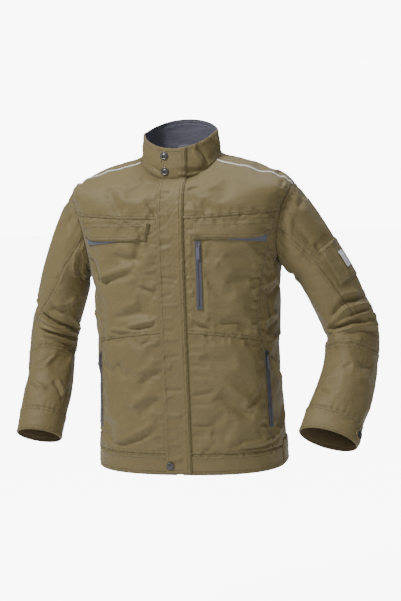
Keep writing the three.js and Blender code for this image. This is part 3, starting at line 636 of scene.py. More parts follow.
def patch(surface, bottom, top, left, right, spacing):
    """A panel's grid: the four edges respaced to about the spacing given, then filled."""
    def reach(*lines):
        return max(
            np.linalg.norm(np.diff(surface.point(line[:, 0], line[:, 1]), axis=0), axis=1).sum()
            for line in lines
        )
    columns = int(reach(bottom, top) / spacing) + 2
    rows = int(reach(left, right) / spacing) + 2
    return filled(
        respaced(bottom, columns, surface), respaced(top, columns, surface),
        respaced(left, rows, surface), respaced(right, rows, surface),
    )


def rectangle(surface, u0, u1, v0, v1, spacing):
    u, v = np.linspace(u0, u1, 60), np.linspace(v0, v1, 60)
    return patch(surface, edge(u, v0), edge(u, v1), edge(u0, v), edge(u1, v), spacing)


def piping_line(side, share):
    end = armhole(PIPING_END, 1)
    return edge(side * (PIPING_NECK + (end[0] - PIPING_NECK) * share), NECK + (end[1] - NECK) * share)


SHARE = np.linspace(0, 1, 90)


def front_outlines(side):
    """Bottom, top, centre and outer edges of the three front panels and the side panel."""
    def seam(rule, start, end):
        angles = float(start) + (float(end) - float(start)) * SHARE
        return edge(side * angles, rule(angles))

    def centre(low, high):
        v = low + (high - low) * SHARE
        return edge(side * open_angle(v), v)

    def princess(low, high):
        v = low + (high - low) * SHARE
        return edge(side * princess_angle(v), v)

    waist_end, waist_side = on_princess(waist_height)
    princess_end, princess_top = on_princess(yoke_height)
    arm = armhole(YOKE_END, 1)[0]
    waist = seam(waist_height, open_angle(WAIST_SEAM), waist_end)
    chest_top = seam(yoke_height, open_angle(YOKE_SEAM), princess_end)
    yoke = seam(yoke_height, open_angle(YOKE_SEAM), arm)
    neck_angles = float(open_angle(NECK)) + (PIPING_NECK - float(open_angle(NECK))) * SHARE
    yoke_top = np.concatenate([edge(side * neck_angles, NECK), piping_line(side, SHARE)[1:]])
    yoke_side = edge(*armhole(YOKE_END + (PIPING_END - YOKE_END) * SHARE, side))
    lower_side, chest_side = princess(HEM_BAND, waist_side), princess(waist_side, princess_top)

    back = armhole(BACK_END, 1)
    rear = edge(
        side * (BACK_SEAM + (back[0] - BACK_SEAM) * SHARE ** 3), HEM_BAND + (back[1] - HEM_BAND) * SHARE)
    under = edge(*armhole(YOKE_END + (BACK_END - YOKE_END) * SHARE, side))
    side_top = np.concatenate([seam(yoke_height, princess_end, arm), under[1:]])
    return {
        "front_lower": (
            seam(band_height, open_angle(HEM_BAND), princess_angle(HEM_BAND)), waist,
            centre(HEM_BAND, waist[0, 1]), lower_side),
        "front_chest": (waist, chest_top, centre(waist[0, 1], chest_top[0, 1]), chest_side),
        "front_yoke": (yoke, yoke_top, centre(yoke[0, 1], NECK), yoke_side),
        "side_panel": (
            seam(band_height, princess_angle(HEM_BAND), BACK_SEAM), side_top,
            np.concatenate([lower_side, chest_side[1:]]), rear),
    }


def back_outlines():
    around = 2 * math.pi

    def mirrored(line):
        return np.stack([around - line[:, 0], line[:, 1]], -1)

    rear = front_outlines(1)["side_panel"][3]
    left = np.concatenate([rear, edge(*armhole(BACK_END + (BACK_YOKE_END - BACK_END) * SHARE, 1))[1:]])
    yoke_end = left[-1]
    band = edge(BACK_SEAM + (around - 2 * BACK_SEAM) * SHARE, HEM_BAND)
    yoke = edge(yoke_end[0] + (around - 2 * yoke_end[0]) * SHARE, yoke_end[1])
    over = edge(*armhole(BACK_YOKE_END + (2 * math.pi + PIPING_END - BACK_YOKE_END) * SHARE, 1))
    down = piping_line(1, SHARE)[::-1]
    neck = edge(PIPING_NECK + (around - 2 * PIPING_NECK) * SHARE, NECK)
    top = np.concatenate([down, neck[1:], mirrored(down)[::-1][1:]])
    return {
        "back_panel": (band, yoke, left, mirrored(left)),
        "back_yoke": (yoke, top, over, mirrored(over)),
    }


# ---------------------------------------------------------------- settling the cloth
def settle(surface, low, high, spacing, pin, growth, cap):
    """Lets a tube of slightly larger cloth settle on the surface and keeps how far each point moved."""
    columns = int(2 * math.pi * (170 if surface is trunk else surface.ROUND) / spacing)
    rows = int((high - low) / spacing)
    u = np.linspace(0, 2 * math.pi, columns, endpoint=False)[:, None] + np.zeros((1, rows))
    v = np.zeros((columns, 1)) + np.linspace(low, high, rows)[None]
    rest = surface.cloth(u, v)
    ring = np.arange(columns)[:, None] * rows
    after = (np.arange(columns)[:, None] + 1) % columns * rows
    step = np.arange(rows - 1)[None]
    faces = np.stack([ring + step, after + step, after + step + 1, ring + step + 1], -1).reshape(-1, 4)
    mesh = bpy.data.meshes.new("settling")
    mesh.from_pydata(to_frame(rest).reshape(-1, 3).tolist(), [], faces.tolist())
    piece = bpy.data.objects.new("settling", mesh)
    bpy.context.scene.collection.objects.link(piece)
    group = piece.vertex_groups.new(name="held")
    weights = np.clip(pin(u, v), 0, 1).reshape(-1)
    for level in np.unique(weights.round(2)):
        group.add(np.flatnonzero(weights.round(2) == level).tolist(), float(level), "REPLACE")
    cloth = piece.modifiers.new("settle", "CLOTH")
    cloth.settings.quality = 6
    cloth.settings.mass = 0.25
    cloth.settings.tension_stiffness = 18
    cloth.settings.compression_stiffness = 18
    cloth.settings.shear_stiffness = 8
    cloth.settings.bending_stiffness = 1.6
    cloth.settings.air_damping = 2
    cloth.settings.shrink_min = -growth
    cloth.settings.vertex_group_mass = "held"
    cloth.settings.pin_stiffness = 1.0
    cloth.settings.effector_weights.gravity = 0
    cloth.collision_settings.use_self_collision = False
    scene = bpy.context.scene
    last = 16
    cloth.point_cache.frame_start, cloth.point_cache.frame_end = 1, last
    for number in range(1, last + 1):
        scene.frame_set(number)
    settled = piece.evaluated_get(bpy.context.evaluated_depsgraph_get())
    flat = np.zeros(len(mesh.vertices) * 3)
    settled.data.vertices.foreach_get("co", flat)
    moves = flat.reshape(columns, rows, 3) / MM + HOOK - rest
    scene.frame_set(1)
    bpy.data.objects.remove(piece)
    bpy.data.meshes.remove(mesh)
    reach = np.linalg.norm(moves, axis=-1, keepdims=True)
    moves *= np.minimum(1, cap / np.maximum(reach, 1e-6))
    return Shift(low, high, moves)


def trunk_pin(u, v):
    """How firmly the body is held: hem, neck, centre front and armholes firm, seams less."""
    angle = abs(wrapped(u))
    firm = np.maximum.reduce([
        1 - smooth((v - 30) / 30),
        smooth((v - 690) / 30),
        0.9 * (1 - smooth((abs(np.sin(u)) * 135 - 30) / 14)) * (np.cos(u) > 0),
        1 - smooth((abs(armhole_reach(u, v) - 1) - 0.05) / 0.25) * (armhole_reach(u, v) > 1),
        0.55 * np.exp(-((v - waist_height(angle)) / 8) ** 2) * (angle < 1.25),
        0.55 * np.exp(-((v - yoke_height(angle)) / 8) ** 2) * (angle < 1.25),
        0.45 * np.exp(-((angle - princess_angle(np.clip(v, 0, 550))) * 170 / 8) ** 2) * (v < 550),
    ])
    return np.maximum(firm, 0.1)


def armhole_reach(u, v):
    """Below 1 inside the armhole's outline."""
    angle = (abs(wrapped(u)) - math.pi / 2) / ARMHOLE_TURN
    return ((abs(angle)) ** ARMHOLE_POWER + (abs(v - ARMHOLE_HEIGHT) / ARMHOLE_HALF) ** ARMHOLE_POWER) ** (
        1 / ARMHOLE_POWER)


def sleeve_pin(length):
    def pin(u, v):
        return np.maximum.reduce([
            1 - smooth(v / 24), smooth((v - (length - 60)) / 20), np.full(np.shape(v), 0.07)])
    return pin


def puckers(seed, count, low, high, start, reach, height, width):
    """Short creases that start at a seam: start(v) is its angle in degrees, reach the angle they run."""
    chance = np.random.default_rng(seed)
    lines = []
    for place in np.linspace(low, high, count) + chance.normal(0, (high - low) / count / 3, count):
        run = reach * chance.uniform(0.35, 1)
        lean = chance.normal(0, 5)
        size = height * chance.uniform(0.4, 1.0) * chance.choice([1, 1, -1])
        lines.append((
            [(start(place), place), (start(place) + run, place + lean)],
            width * chance.uniform(0.7, 1.3), size,
        ))
    return lines


def radial_puckers(seed, count, centre, reach, height):
    """Creases that fan out from the end of a zip."""
    chance = np.random.default_rng(seed)
    lines = []
    for turn in np.linspace(0, 2 * math.pi, count, endpoint=False) + chance.normal(0, 0.2, count):
        run = reach * chance.uniform(0.6, 1.0)
        first = (centre[0] + 3 * math.cos(turn), centre[1] + 7 * math.sin(turn))
        last = (centre[0] + run * math.cos(turn) / 3.2, centre[1] + run * math.sin(turn))
        lines.append(([first, last], 3.5, height * chance.uniform(0.5, 1)))
    return lines


def add_small_creases():
    """Adds to the listed folds the short creases along seams, the storm flap's edges and zips, which follow
    rules rather than places.
    """
    def at(x):
        return lambda v: math.degrees(float(front_angle(x, v)))

    def beside_princess(v):
        return math.degrees(float(princess_angle(v))) - 2

    folds = list(TRUNK_FOLDS)
    folds += puckers(1, 26, 60, 600, at(FLAP_LEFT + 4), 20, 1.3, 3.6)
    folds += puckers(2, 18, 60, 600, at(FLAP_RIGHT - 3), -14, 1.1, 3.6)
    folds += puckers(3, 34, 20, 720, at(FLAP_RIGHT + 3), 20, 1.5, 4.2)
    folds += puckers(4, 16, 355, 492, at(CHEST_ZIP["x"] - 8), -9, 1.2, 3.0)
    folds += puckers(5, 14, 355, 492, at(CHEST_ZIP["x"] + 8), 10, 1.0, 3.0)
    folds += puckers(6, 20, 300, 470, beside_princess, -7, 1.4, 3.2)
    folds += puckers(7, 10, 60, 280, beside_princess, -9, 1.2, 4.0)
    for side in SIDES.values():
        centre = (side * math.degrees(float(princess_angle(SIDE_ZIP["low"]))), SIDE_ZIP["low"] - 4)
        folds += radial_puckers(8 + side, 7, centre, 34, 1.8)
    trunk.folds = folds


# ---------------------------------------------------------------- meshes
def run_lengths(points, axis):
    steps = np.linalg.norm(np.diff(points, axis=axis), axis=-1)
    start = np.zeros_like(np.take(steps, [0], axis))
    return np.concatenate([start, np.cumsum(steps, axis)], axis)


def edge_distances(points, stitched, closed):
    """Distance of each grid point from the nearest stitched edge, in millimetres."""
    across, along = run_lengths(points, 0), run_lengths(points, 1)
    choices = {
        "left": across, "right": across[-1:] - across,
        "bottom": along, "top": along[:, -1:] - along,
    }
    found = [choices[name] for name in stitched if not (closed and name in ("left", "right"))]
    return np.minimum.reduce(found) if found else np.full(points.shape[:2], 60.0)


def seam_relief(distance, chance):
    """A groove at the seam and a raised, slightly puckered lap up to the second row of stitches."""
    lap = smooth(distance / 1.6) * (1 - smooth((distance - SEAM_ROWS[1]) / 3.5))
    grain = chance.normal(0, 1, distance.shape)
    for axis in (0, 1, 0, 1):
        grain = (np.roll(grain, 1, axis) + grain + np.roll(grain, -1, axis)) / 3
    return 0.55 * lap - 0.7 * np.exp(-(distance / 1.8) ** 2) + 0.9 * lap * grain


def sheet_mesh(name, outer, inner, closed, rim=0.35):
    """A closed sheet from two grids of points, with a rounded edge; closed sheets join round u."""
    columns, rows = outer.shape[:2]
    mesh = bpy.data.meshes.new(name)
    points = [outer.reshape(-1, 3), inner.reshape(-1, 3)]
    index = np.arange(columns * rows).reshape(columns, rows)
    if closed:
        index = np.concatenate([index, index[:1]], 0)
    faces = []

    def quads(grid, flip):
        a, b, c, d = grid[:-1, :-1], grid[1:, :-1], grid[1:, 1:], grid[:-1, 1:]
        order = [a, d, c, b] if flip else [a, b, c, d]
        faces.append(np.stack(order, -1).reshape(-1, 4))

    volume_sign = facing(outer, inner)
    quads(index, volume_sign < 0)
    quads(index + columns * rows, volume_sign > 0)
    border = border_loop(index, closed)
    total = 2 * columns * rows
    for loop, closed_loop in border:
        top, low = points[0][loop], points[1][loop]
        tangent = edge_outward(loop, index, points[0])
        middle = (top + low) / 2 + tangent * rim
        points.append(middle)
        spine = np.arange(total, total + len(loop))
        total += len(loop)
        for first, second in ((loop, spine), (spine, loop + columns * rows)):
            here, there = first, second
            following = np.roll(here, -1), np.roll(there, -1)
            stop = len(loop) if closed_loop else len(loop) - 1
            strip = np.stack([here, there, following[1], following[0]], -1)[:stop]
            faces.append(strip)
    mesh.from_pydata(to_frame(np.concatenate(points)).tolist(), [], np.concatenate(faces).tolist())
    for polygon in mesh.polygons:
        polygon.use_smooth = True
    tidy = bmesh.new()
    tidy.from_mesh(mesh)
    bmesh.ops.recalc_face_normals(tidy, faces=tidy.faces)
    tidy.to_mesh(mesh)
    tidy.free()
    return mesh


def facing(outer, inner):
    """+1 where a quad in grid order looks away from the inner grid."""
    i, j = outer.shape[0] // 2, outer.shape[1] // 2
    across = outer[i, j] - outer[i - 1, j]
    along = outer[i, j] - outer[i, j - 1]
    return np.sign(np.cross(across, along) @ (outer[i, j] - inner[i, j]))


def border_loop(index, closed):
    """The grid's open edges as loops of vertex numbers."""
    if closed:
        return [(index[:-1, 0], True), (index[:-1, -1], True)]
    ring = np.concatenate([index[:, 0], index[-1, 1:], index[-2::-1, -1], index[0, -2:0:-1]])
    return [(ring, True)]


def edge_outward(loop, index, points):
    """Directions along the cloth that point away from it at its edge."""
    columns, rows = index.shape
    place = {int(number): (i, j) for (i, j), number in np.ndenumerate(index)}
    ways = []
    for number in loop:
        i, j = place[int(number)]
        i2 = min(max(i, 1), columns - 2) if columns > 2 else i
        j2 = min(max(j, 1), rows - 2) if rows > 2 else j
        if i == columns - 1 and (index[0] == index[-1]).all():
            i2 = i
        way = points[number] - points[index[i2, j2]]
        size = np.linalg.norm(way)
        ways.append(way / size if size > 1e-9 else way)
    return np.array(ways)


def cloth_piece(name, surface, grid, options):
    """A cloth panel on a surface.

    Options: lift, thickness, stitched edges, closed, materials; held and rests_on are not used.
    """
    closed = options.get("closed", False)
    thickness = options.get("thickness", CLOTH)
    u, v = grid[..., 0], grid[..., 1]
    plain = surface.point(u, v)
    stitched = options.get("stitched", ())
    distance = edge_distances(plain, stitched, closed)
    chance = np.random.default_rng(len(name) * 7 + grid.shape[0])
    lift = options.get("lift", 0.0) + (seam_relief(distance, chance) if stitched else 0.0)
    outer = surface.cloth(u, v, lift)
    inner = surface.cloth(u, v, lift - thickness)
    mesh = sheet_mesh(name, outer, inner, closed)
    count = grid.shape[0] * grid.shape[1]
    spread = np.concatenate([distance.reshape(-1)] * 2)
    seam = np.zeros(len(mesh.vertices), np.float32)
    seam[:2 * count] = spread * MM
    mesh.attributes.new("seam", "FLOAT", "POINT").data.foreach_set("value", seam)
    across, along = run_lengths(plain, 0), run_lengths(plain, 1)
    middle = plain.shape[1] // 2
    weave = np.stack([across[:, middle][:, None] + 0 * across, along], -1).reshape(-1, 2)
    add_weave_map(mesh, np.concatenate([weave] * 2), options.get("turn", 0.0))
    materials = options["materials"]
    for material in materials:
        mesh.materials.append(material)
    if len(materials) > 1:
        inside = np.zeros(len(mesh.polygons), np.int32)
        quads = (grid.shape[0] - (0 if closed else 1)) * (grid.shape[1] - 1)
        inside[quads:2 * quads] = 1
        mesh.polygons.foreach_set("material_index", inside)
    piece = bpy.data.objects.new(name, mesh)
    bpy.context.scene.collection.objects.link(piece)
    width = float(across[-1].max()) * MM
    if closed:
        width += float(np.linalg.norm(plain[0] - plain[-1], axis=-1).max()) * MM
    return piece


def add_weave_map(mesh, places, turn):
    """A UV map in metres of cloth, turned by the angle the panel was cut at."""
    rounded = np.array([[math.cos(turn), -math.sin(turn)], [math.sin(turn), math.cos(turn)]])
    flat = np.zeros((len(mesh.vertices), 2))
    flat[:len(places)] = places @ rounded.T * MM
    corners = np.zeros(len(mesh.loops), np.int32)
    mesh.loops.foreach_get("vertex_index", corners)
    layer = mesh.uv_layers.new(name="weave")
    layer.data.foreach_set("uv", flat[corners].reshape(-1).astype(np.float32))


def lathe(name, profile, segments, place, normal):
    """A turned solid from (radius, height) points in millimetres, standing on a point of the cloth."""
    form = bmesh.new()
    rings = []
    for radius, height in profile:
        if radius < 1e-6:
            rings.append([form.verts.new((0, 0, height))])
            continue
        turns = [2 * math.pi * k / segments for k in range(segments)]
        rings.append([form.verts.new((radius * math.cos(t), radius * math.sin(t), height)) for t in turns])
    for low, high in zip(rings, rings[1:]):
        for k in range(segments):
            a, b = low[k % len(low)], low[(k + 1) % len(low)]
            c, d = high[(k + 1) % len(high)], high[k % len(high)]
            form.faces.new(list(dict.fromkeys([a, b, c, d])))
    bmesh.ops.recalc_face_normals(form, faces=form.faces)
    turn = Vector((0, 0, 1)).rotation_difference(Vector(normal)).to_matrix().to_4x4()
    matrix = Matrix.Translation(Vector(to_frame(place))) @ turn @ Matrix.Scale(MM, 4)
    bmesh.ops.transform(form, matrix=matrix, verts=form.verts)
    mesh = bpy.data.meshes.new(name)
    form.to_mesh(mesh)
    form.free()
    for polygon in mesh.polygons:
        polygon.use_smooth = True
    piece = bpy.data.objects.new(name, mesh)
    bpy.context.scene.collection.objects.link(piece)
    return piece


def finished_copy(node, name, material, bevel):
    """A CAD node's shape with its edges rounded, standing for the node."""
    source = frame["nodes"][node]
    mesh = source.data.copy()
    mesh.name = name
    form = bmesh.new()
    form.from_mesh(mesh)
    bmesh.ops.remove_doubles(form, verts=form.verts, dist=1e-6)
    bmesh.ops.dissolve_limit(form, angle_limit=math.radians(1), verts=form.verts, edges=form.edges)
    form.to_mesh(mesh)
    form.free()
    mesh.materials.clear()
    mesh.materials.append(material)
    piece = bpy.data.objects.new(name, mesh)
    bpy.context.scene.collection.objects.link(piece)
    rounding = piece.modifiers.new("rounding", "BEVEL")
    rounding.width = bevel
    rounding.segments = 3
    rounding.limit_method = "ANGLE"
    apply_modifiers(piece)
    for polygon in piece.data.polygons:
        polygon.use_smooth = True
    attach(piece, body_of(source)[0])
    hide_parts(node)
    return piece


def apply_modifiers(piece):
    """Turns what the piece's modifiers give into its plain mesh."""
    depsgraph = bpy.context.evaluated_depsgraph_get()
    mesh = bpy.data.meshes.new_from_object(piece.evaluated_get(depsgraph), depsgraph=depsgraph)
    piece.modifiers.clear()
    piece.data = mesh


# ---------------------------------------------------------------- geometry nodes
def along_path_tree():
    """Node tree that sets a small rounded bead every so often along each path."""
    tree = bpy.data.node_groups.get("Beads along a path")
    if tree:
        return tree
    tree = bpy.data.node_groups.new("Beads along a path", "GeometryNodeTree")
    face = tree.interface
    face.new_socket("Geometry", in_out="INPUT", socket_type="NodeSocketGeometry")
    for label, value in (("Spacing", 0.0032), ("Length", 0.0024), ("Width", 0.0006), ("Height", 0.0006)):
        socket = face.new_socket(label, in_out="INPUT", socket_type="NodeSocketFloat")
        socket.default_value = value
    face.new_socket("Material", in_out="INPUT", socket_type="NodeSocketMaterial")
    face.new_socket("Geometry", in_out="OUTPUT", socket_type="NodeSocketGeometry")
    nodes, links = tree.nodes, tree.links
    source, result = nodes.new("NodeGroupInput"), nodes.new("NodeGroupOutput")
    curve = nodes.new("GeometryNodeMeshToCurve")
    spaced = nodes.new("GeometryNodeResampleCurve")
    spaced.mode = "LENGTH"
    bead = nodes.new("GeometryNodeMeshIcoSphere")
    bead.inputs["Radius"].default_value = 0.5
    bead.inputs["Subdivisions"].default_value = 1
    tangent = nodes.new("GeometryNodeInputTangent")
    turn = nodes.new("FunctionNodeAlignRotationToVector")
    turn.axis = "Z"
    size = nodes.new("ShaderNodeCombineXYZ")
    instances = nodes.new("GeometryNodeInstanceOnPoints")
    real = nodes.new("GeometryNodeRealizeInstances")
    paint = nodes.new("GeometryNodeSetMaterial")
    links.new(source.outputs["Geometry"], curve.inputs["Mesh"])
    links.new(curve.outputs["Curve"], spaced.inputs["Curve"])
    links.new(source.outputs["Spacing"], spaced.inputs["Length"])
    links.new(spaced.outputs["Curve"], instances.inputs["Points"])
    links.new(bead.outputs["Mesh"], instances.inputs["Instance"])
    links.new(tangent.outputs["Tangent"], turn.inputs["Vector"])
    links.new(turn.outputs["Rotation"], instances.inputs["Rotation"])
    links.new(source.outputs["Width"], size.inputs["X"])
    links.new(source.outputs["Height"], size.inputs["Y"])
    links.new(source.outputs["Length"], size.inputs["Z"])
    links.new(size.outputs["Vector"], instances.inputs["Scale"])
    links.new(instances.outputs["Instances"], real.inputs["Geometry"])
    links.new(real.outputs["Geometry"], paint.inputs["Geometry"])
    links.new(source.outputs["Material"], paint.inputs["Material"])
    links.new(paint.outputs["Geometry"], result.inputs["Geometry"])
    return tree


def beads_on(name, paths, material, spacing, length, width, height):
    """One mesh of beads along paths given in garment millimetres."""
    points, edges = [], []
    for path in paths:
        first = len(points)
        points.extend(to_frame(path).tolist())
        edges.extend((k, k + 1) for k in range(first, len(points) - 1))
    mesh = bpy.data.meshes.new(name)
    mesh.from_pydata(points, edges, [])
    piece = bpy.data.objects.new(name, mesh)
    bpy.context.scene.collection.objects.link(piece)
    tree = along_path_tree()
    modifier = piece.modifiers.new("beads", "NODES")
    modifier.node_group = tree
    values = {"Spacing": spacing, "Length": length, "Width": width, "Height": height, "Material": material}
    for item in tree.interface.items_tree:
        if item.in_out == "INPUT" and item.name in values:
            modifier[item.identifier] = values[item.name]
    apply_modifiers(piece)
    for polygon in piece.data.polygons:
        polygon.use_smooth = True
    return piece


# ---------------------------------------------------------------- materials
def shader_group(name, inputs, outputs):
    """An empty shader node group with named sockets; returns the group, its input and its output node."""
    group = bpy.data.node_groups.new(name, "ShaderNodeTree")
    for label, kind, value in inputs:
        socket = group.interface.new_socket(label, in_out="INPUT", socket_type=kind)
        if value is not None:
            socket.default_value = value
    for label, kind in outputs:
        group.interface.new_socket(label, in_out="OUTPUT", socket_type=kind)
    return group, group.nodes.new("NodeGroupInput"), group.nodes.new("NodeGroupOutput")


def math_node(tree, operation, first, second=None, clamp=False):
    node = tree.nodes.new("ShaderNodeMath")
    node.operation = operation
    node.use_clamp = clamp
    for socket, value in zip(node.inputs, (first, second)):
        if value is None:
            continue
        if isinstance(value, (int, float)):
            socket.default_value = value
        else:
            tree.links.new(value, socket)
    return node.outputs[0]


def ranged(tree, value, low, high, start, end):
    node = tree.nodes.new("ShaderNodeMapRange")
    tree.links.new(value, node.inputs["Value"])
    for label, number in (("From Min", low), ("From Max", high), ("To Min", start), ("To Max", end)):
        node.inputs[label].default_value = number
    return node.outputs["Result"]


def noise(tree, vector, scale, detail=3.0, roughness=0.55):
    node = tree.nodes.new("ShaderNodeTexNoise")
    tree.links.new(vector, node.inputs["Vector"])
    node.inputs["Scale"].default_value = scale
    node.inputs["Detail"].default_value = detail
    node.inputs["Roughness"].default_value = roughness
    return node.outputs["Fac"]


def weave_group():
    """Twill: diagonal ribs crossed by finer yarns. Puts out the ribs' shade and height."""
    group = bpy.data.node_groups.get("Twill weave")
    if group:
        return group
    group, source, result = shader_group(
        "Twill weave",
        [
            ("Cloth", "NodeSocketVector", None), ("Rib", "NodeSocketFloat", 0.0011),
            ("Slub", "NodeSocketFloat", 0.35),
        ],
        [("Shade", "NodeSocketFloat"), ("Height", "NodeSocketFloat")],
    )
    parts = group.nodes.new("ShaderNodeSeparateXYZ")
    group.links.new(source.outputs["Cloth"], parts.inputs["Vector"])
    turn = math_node(group, "DIVIDE", 2 * math.pi, source.outputs["Rib"])
    rise = math_node(group, "ADD", parts.outputs["X"], math_node(group, "MULTIPLY", parts.outputs["Y"], 0.62))
    rib = math_node(group, "SINE", math_node(group, "MULTIPLY", rise, turn))
    slant = math_node(group, "MULTIPLY", parts.outputs["Y"], 1.9)
    fall = math_node(group, "SUBTRACT", parts.outputs["X"], slant)
    yarn = math_node(group, "SINE", math_node(group, "MULTIPLY", fall, turn))
    slub = ranged(group, noise(group, source.outputs["Cloth"], 900.0, 2.0), 0.3, 0.7, -1.0, 1.0)
    mix = math_node(
        group, "ADD", math_node(group, "MULTIPLY", rib, 0.6), math_node(group, "MULTIPLY", yarn, 0.25))
    mix = math_node(group, "ADD", mix, math_node(group, "MULTIPLY", slub, source.outputs["Slub"]))
    height = ranged(group, mix, -1.2, 1.2, 0.0, 1.0)
    group.links.new(height, result.inputs["Height"])
    group.links.new(height, result.inputs["Shade"])
    return group


def seam_group():
    """Lines of stitching and the small tucks beside a seam, from the distance to the seam; the lines also set
    where the stitch grooves' shade is painted.
    """
    group = bpy.data.node_groups.get("Seam finish")
    if group:
        return group
    group, source, result = shader_group(
        "Seam finish",
        [("Distance", "NodeSocketFloat", 0.06), ("Place", "NodeSocketVector", None)],
        [("Line", "NodeSocketFloat"), ("Wear", "NodeSocketFloat"), ("Height", "NodeSocketFloat")],
    )
    distance = source.outputs["Distance"]
    lines = None
    for row in SEAM_ROWS:
        gap = math_node(group, "ABSOLUTE", math_node(group, "SUBTRACT", distance, row * MM))
        line = ranged(group, gap, 0.0002, 0.0013, 1.0, 0.0)
        lines = line if lines is None else math_node(group, "MAXIMUM", lines, line)
    near = ranged(group, distance, 0.009, 0.016, 1.0, 0.0)
    tuck = ranged(group, noise(group, source.outputs["Place"], 120.0, 1.5), 0.35, 0.65, 0.0, 1.0)
    height = math_node(group, "SUBTRACT", math_node(group, "MULTIPLY", near, tuck), lines)
    group.links.new(lines, result.inputs["Line"])
    group.links.new(ranged(group, distance, 0.0, 0.0016, 1.0, 0.0), result.inputs["Wear"])
    group.links.new(height, result.inputs["Height"])
    return group


def tinted(color, factor):
    return tuple(min(1.0, channel * factor) for channel in color[:3]) + (1.0,)


def mixed(tree, factor, first, second):
    node = tree.nodes.new("ShaderNodeMix")
    node.data_type = "RGBA"
    tree.links.new(factor, node.inputs["Factor"])
    for label, value in (("A", first), ("B", second)):
        socket = next(s for s in node.inputs if s.name == label and s.type == "RGBA")
        if isinstance(value, tuple):
            socket.default_value = value
        else:
            tree.links.new(value, socket)
    return next(s for s in node.outputs if s.type == "RGBA")


def stretched(tree, vector, scale):
    """The vector scaled differently along each axis."""
    node = tree.nodes.new("ShaderNodeVectorMath")
    node.operation = "MULTIPLY"
    tree.links.new(vector, node.inputs[0])
    node.inputs[1].default_value = scale
    return node.outputs[0]


def cloth_material(
        name, color, rib=0.0011, sheen=0.12, roughness=0.62, contrast=0.1, crumples=1.6, panel=True):
    """Woven cloth with a fine twill, uneven dye, faded seam edges, puckered seams and painted shade in the
    stitch grooves.

    A panel carries a weave map and its distance to a seam. Tape and badges have neither, so they are
    woven along their own coordinates and have no seam.
    """
    material = bpy.data.materials.new(name)
    material.use_nodes = True
    tree = material.node_tree
    shader = tree.nodes["Principled BSDF"]
    place = tree.nodes.new("ShaderNodeTexCoord").outputs["Object"]
    weave = tree.nodes.new("ShaderNodeGroup")
    weave.node_tree = weave_group()
    weave.inputs["Rib"].default_value = rib
    seam = tree.nodes.new("ShaderNodeGroup")
    seam.node_tree = seam_group()
    tree.links.new(place, seam.inputs["Place"])
    if panel:
        cloth = tree.nodes.new("ShaderNodeUVMap")
        cloth.uv_map = "weave"
        tree.links.new(cloth.outputs["UV"], weave.inputs["Cloth"])
        distance = tree.nodes.new("ShaderNodeAttribute")
        distance.attribute_name = "seam"
        tree.links.new(distance.outputs["Fac"], seam.inputs["Distance"])
    else:
        tree.links.new(place, weave.inputs["Cloth"])
        seam.inputs["Distance"].default_value = NO_SEAM

    dye = ranged(tree, noise(tree, place, 9.0, 4.0), 0.3, 0.7, 0.0, 1.0)
    base = mixed(tree, dye, tinted(color, 0.93), tinted(color, 1.07))
    ribs = mixed(tree, weave.outputs["Shade"], tinted(color, 1 - contrast * 1.4), tinted(color, 1 + contrast))
    half = tree.nodes.new("ShaderNodeValue")
    half.outputs[0].default_value = 0.5
    woven = mixed(tree, half.outputs[0], base, ribs)
    faded = mixed(tree, math_node(tree, "MULTIPLY", seam.outputs["Wear"], 0.35), woven, tinted(color, 1.35))
    # painted shade: the cloth is darkened along the rows of stitches to stand for the shade in the groove the
    # thread pulls into it
    stitched = mixed(tree, math_node(tree, "MULTIPLY", seam.outputs["Line"], 0.3), faded, tinted(color, 0.5))
    tree.links.new(stitched, shader.inputs["Base Color"])
    rough = math_node(tree, "ADD", roughness - 0.05, math_node(tree, "MULTIPLY", weave.outputs["Shade"], 0.1))
    tree.links.new(rough, shader.inputs["Roughness"])
    shader.inputs["Sheen Weight"].default_value = sheen
    shader.inputs["Sheen Roughness"].default_value = 0.5
    shader.inputs["Specular IOR Level"].default_value = 0.4

    crumple = noise(tree, stretched(tree, place, (0.55, 0.7, 1.5)), 26.0, 5.0, 0.5)
    height = math_node(
        tree, "ADD", math_node(tree, "MULTIPLY", weave.outputs["Height"], 0.04),
        math_node(tree, "MULTIPLY", crumple, crumples))
    height = math_node(tree, "ADD", height, math_node(tree, "MULTIPLY", seam.outputs["Height"], 0.25))
    bump = tree.nodes.new("ShaderNodeBump")
    bump.inputs["Strength"].default_value = 0.8
    bump.inputs["Distance"].default_value = 0.0032
    tree.links.new(height, bump.inputs["Height"])
    tree.links.new(bump.outputs["Normal"], shader.inputs["Normal"])
    return material


def solid_material(name, color, roughness, metallic=0.0, scratch=120.0, depth=0.00005, coat=0.0):
    """Metal, plastic or thread: fine marks change its roughness, its colour a little, and its surface."""
    material = bpy.data.materials.new(name)
    material.use_nodes = True
    tree = material.node_tree
    shader = tree.nodes["Principled BSDF"]
    place = tree.nodes.new("ShaderNodeTexCoord").outputs["Object"]
    marks = noise(tree, place, scratch * 10, 4.0, 0.65)
    patches = noise(tree, place, scratch, 3.0)
    tree.links.new(mixed(tree, patches, tinted(color, 0.8), tinted(color, 1.2)), shader.inputs["Base Color"])
    rough = ranged(tree, marks, 0.3, 0.7, roughness - 0.08, roughness + 0.1)
    tree.links.new(rough, shader.inputs["Roughness"])
    shader.inputs["Metallic"].default_value = metallic
    shader.inputs["Coat Weight"].default_value = coat
    bump = tree.nodes.new("ShaderNodeBump")
    bump.inputs["Strength"].default_value = 0.5
    bump.inputs["Distance"].default_value = depth
    tree.links.new(marks, bump.inputs["Height"])
    tree.links.new(bump.outputs["Normal"], shader.inputs["Normal"])
    return material


materials = {}


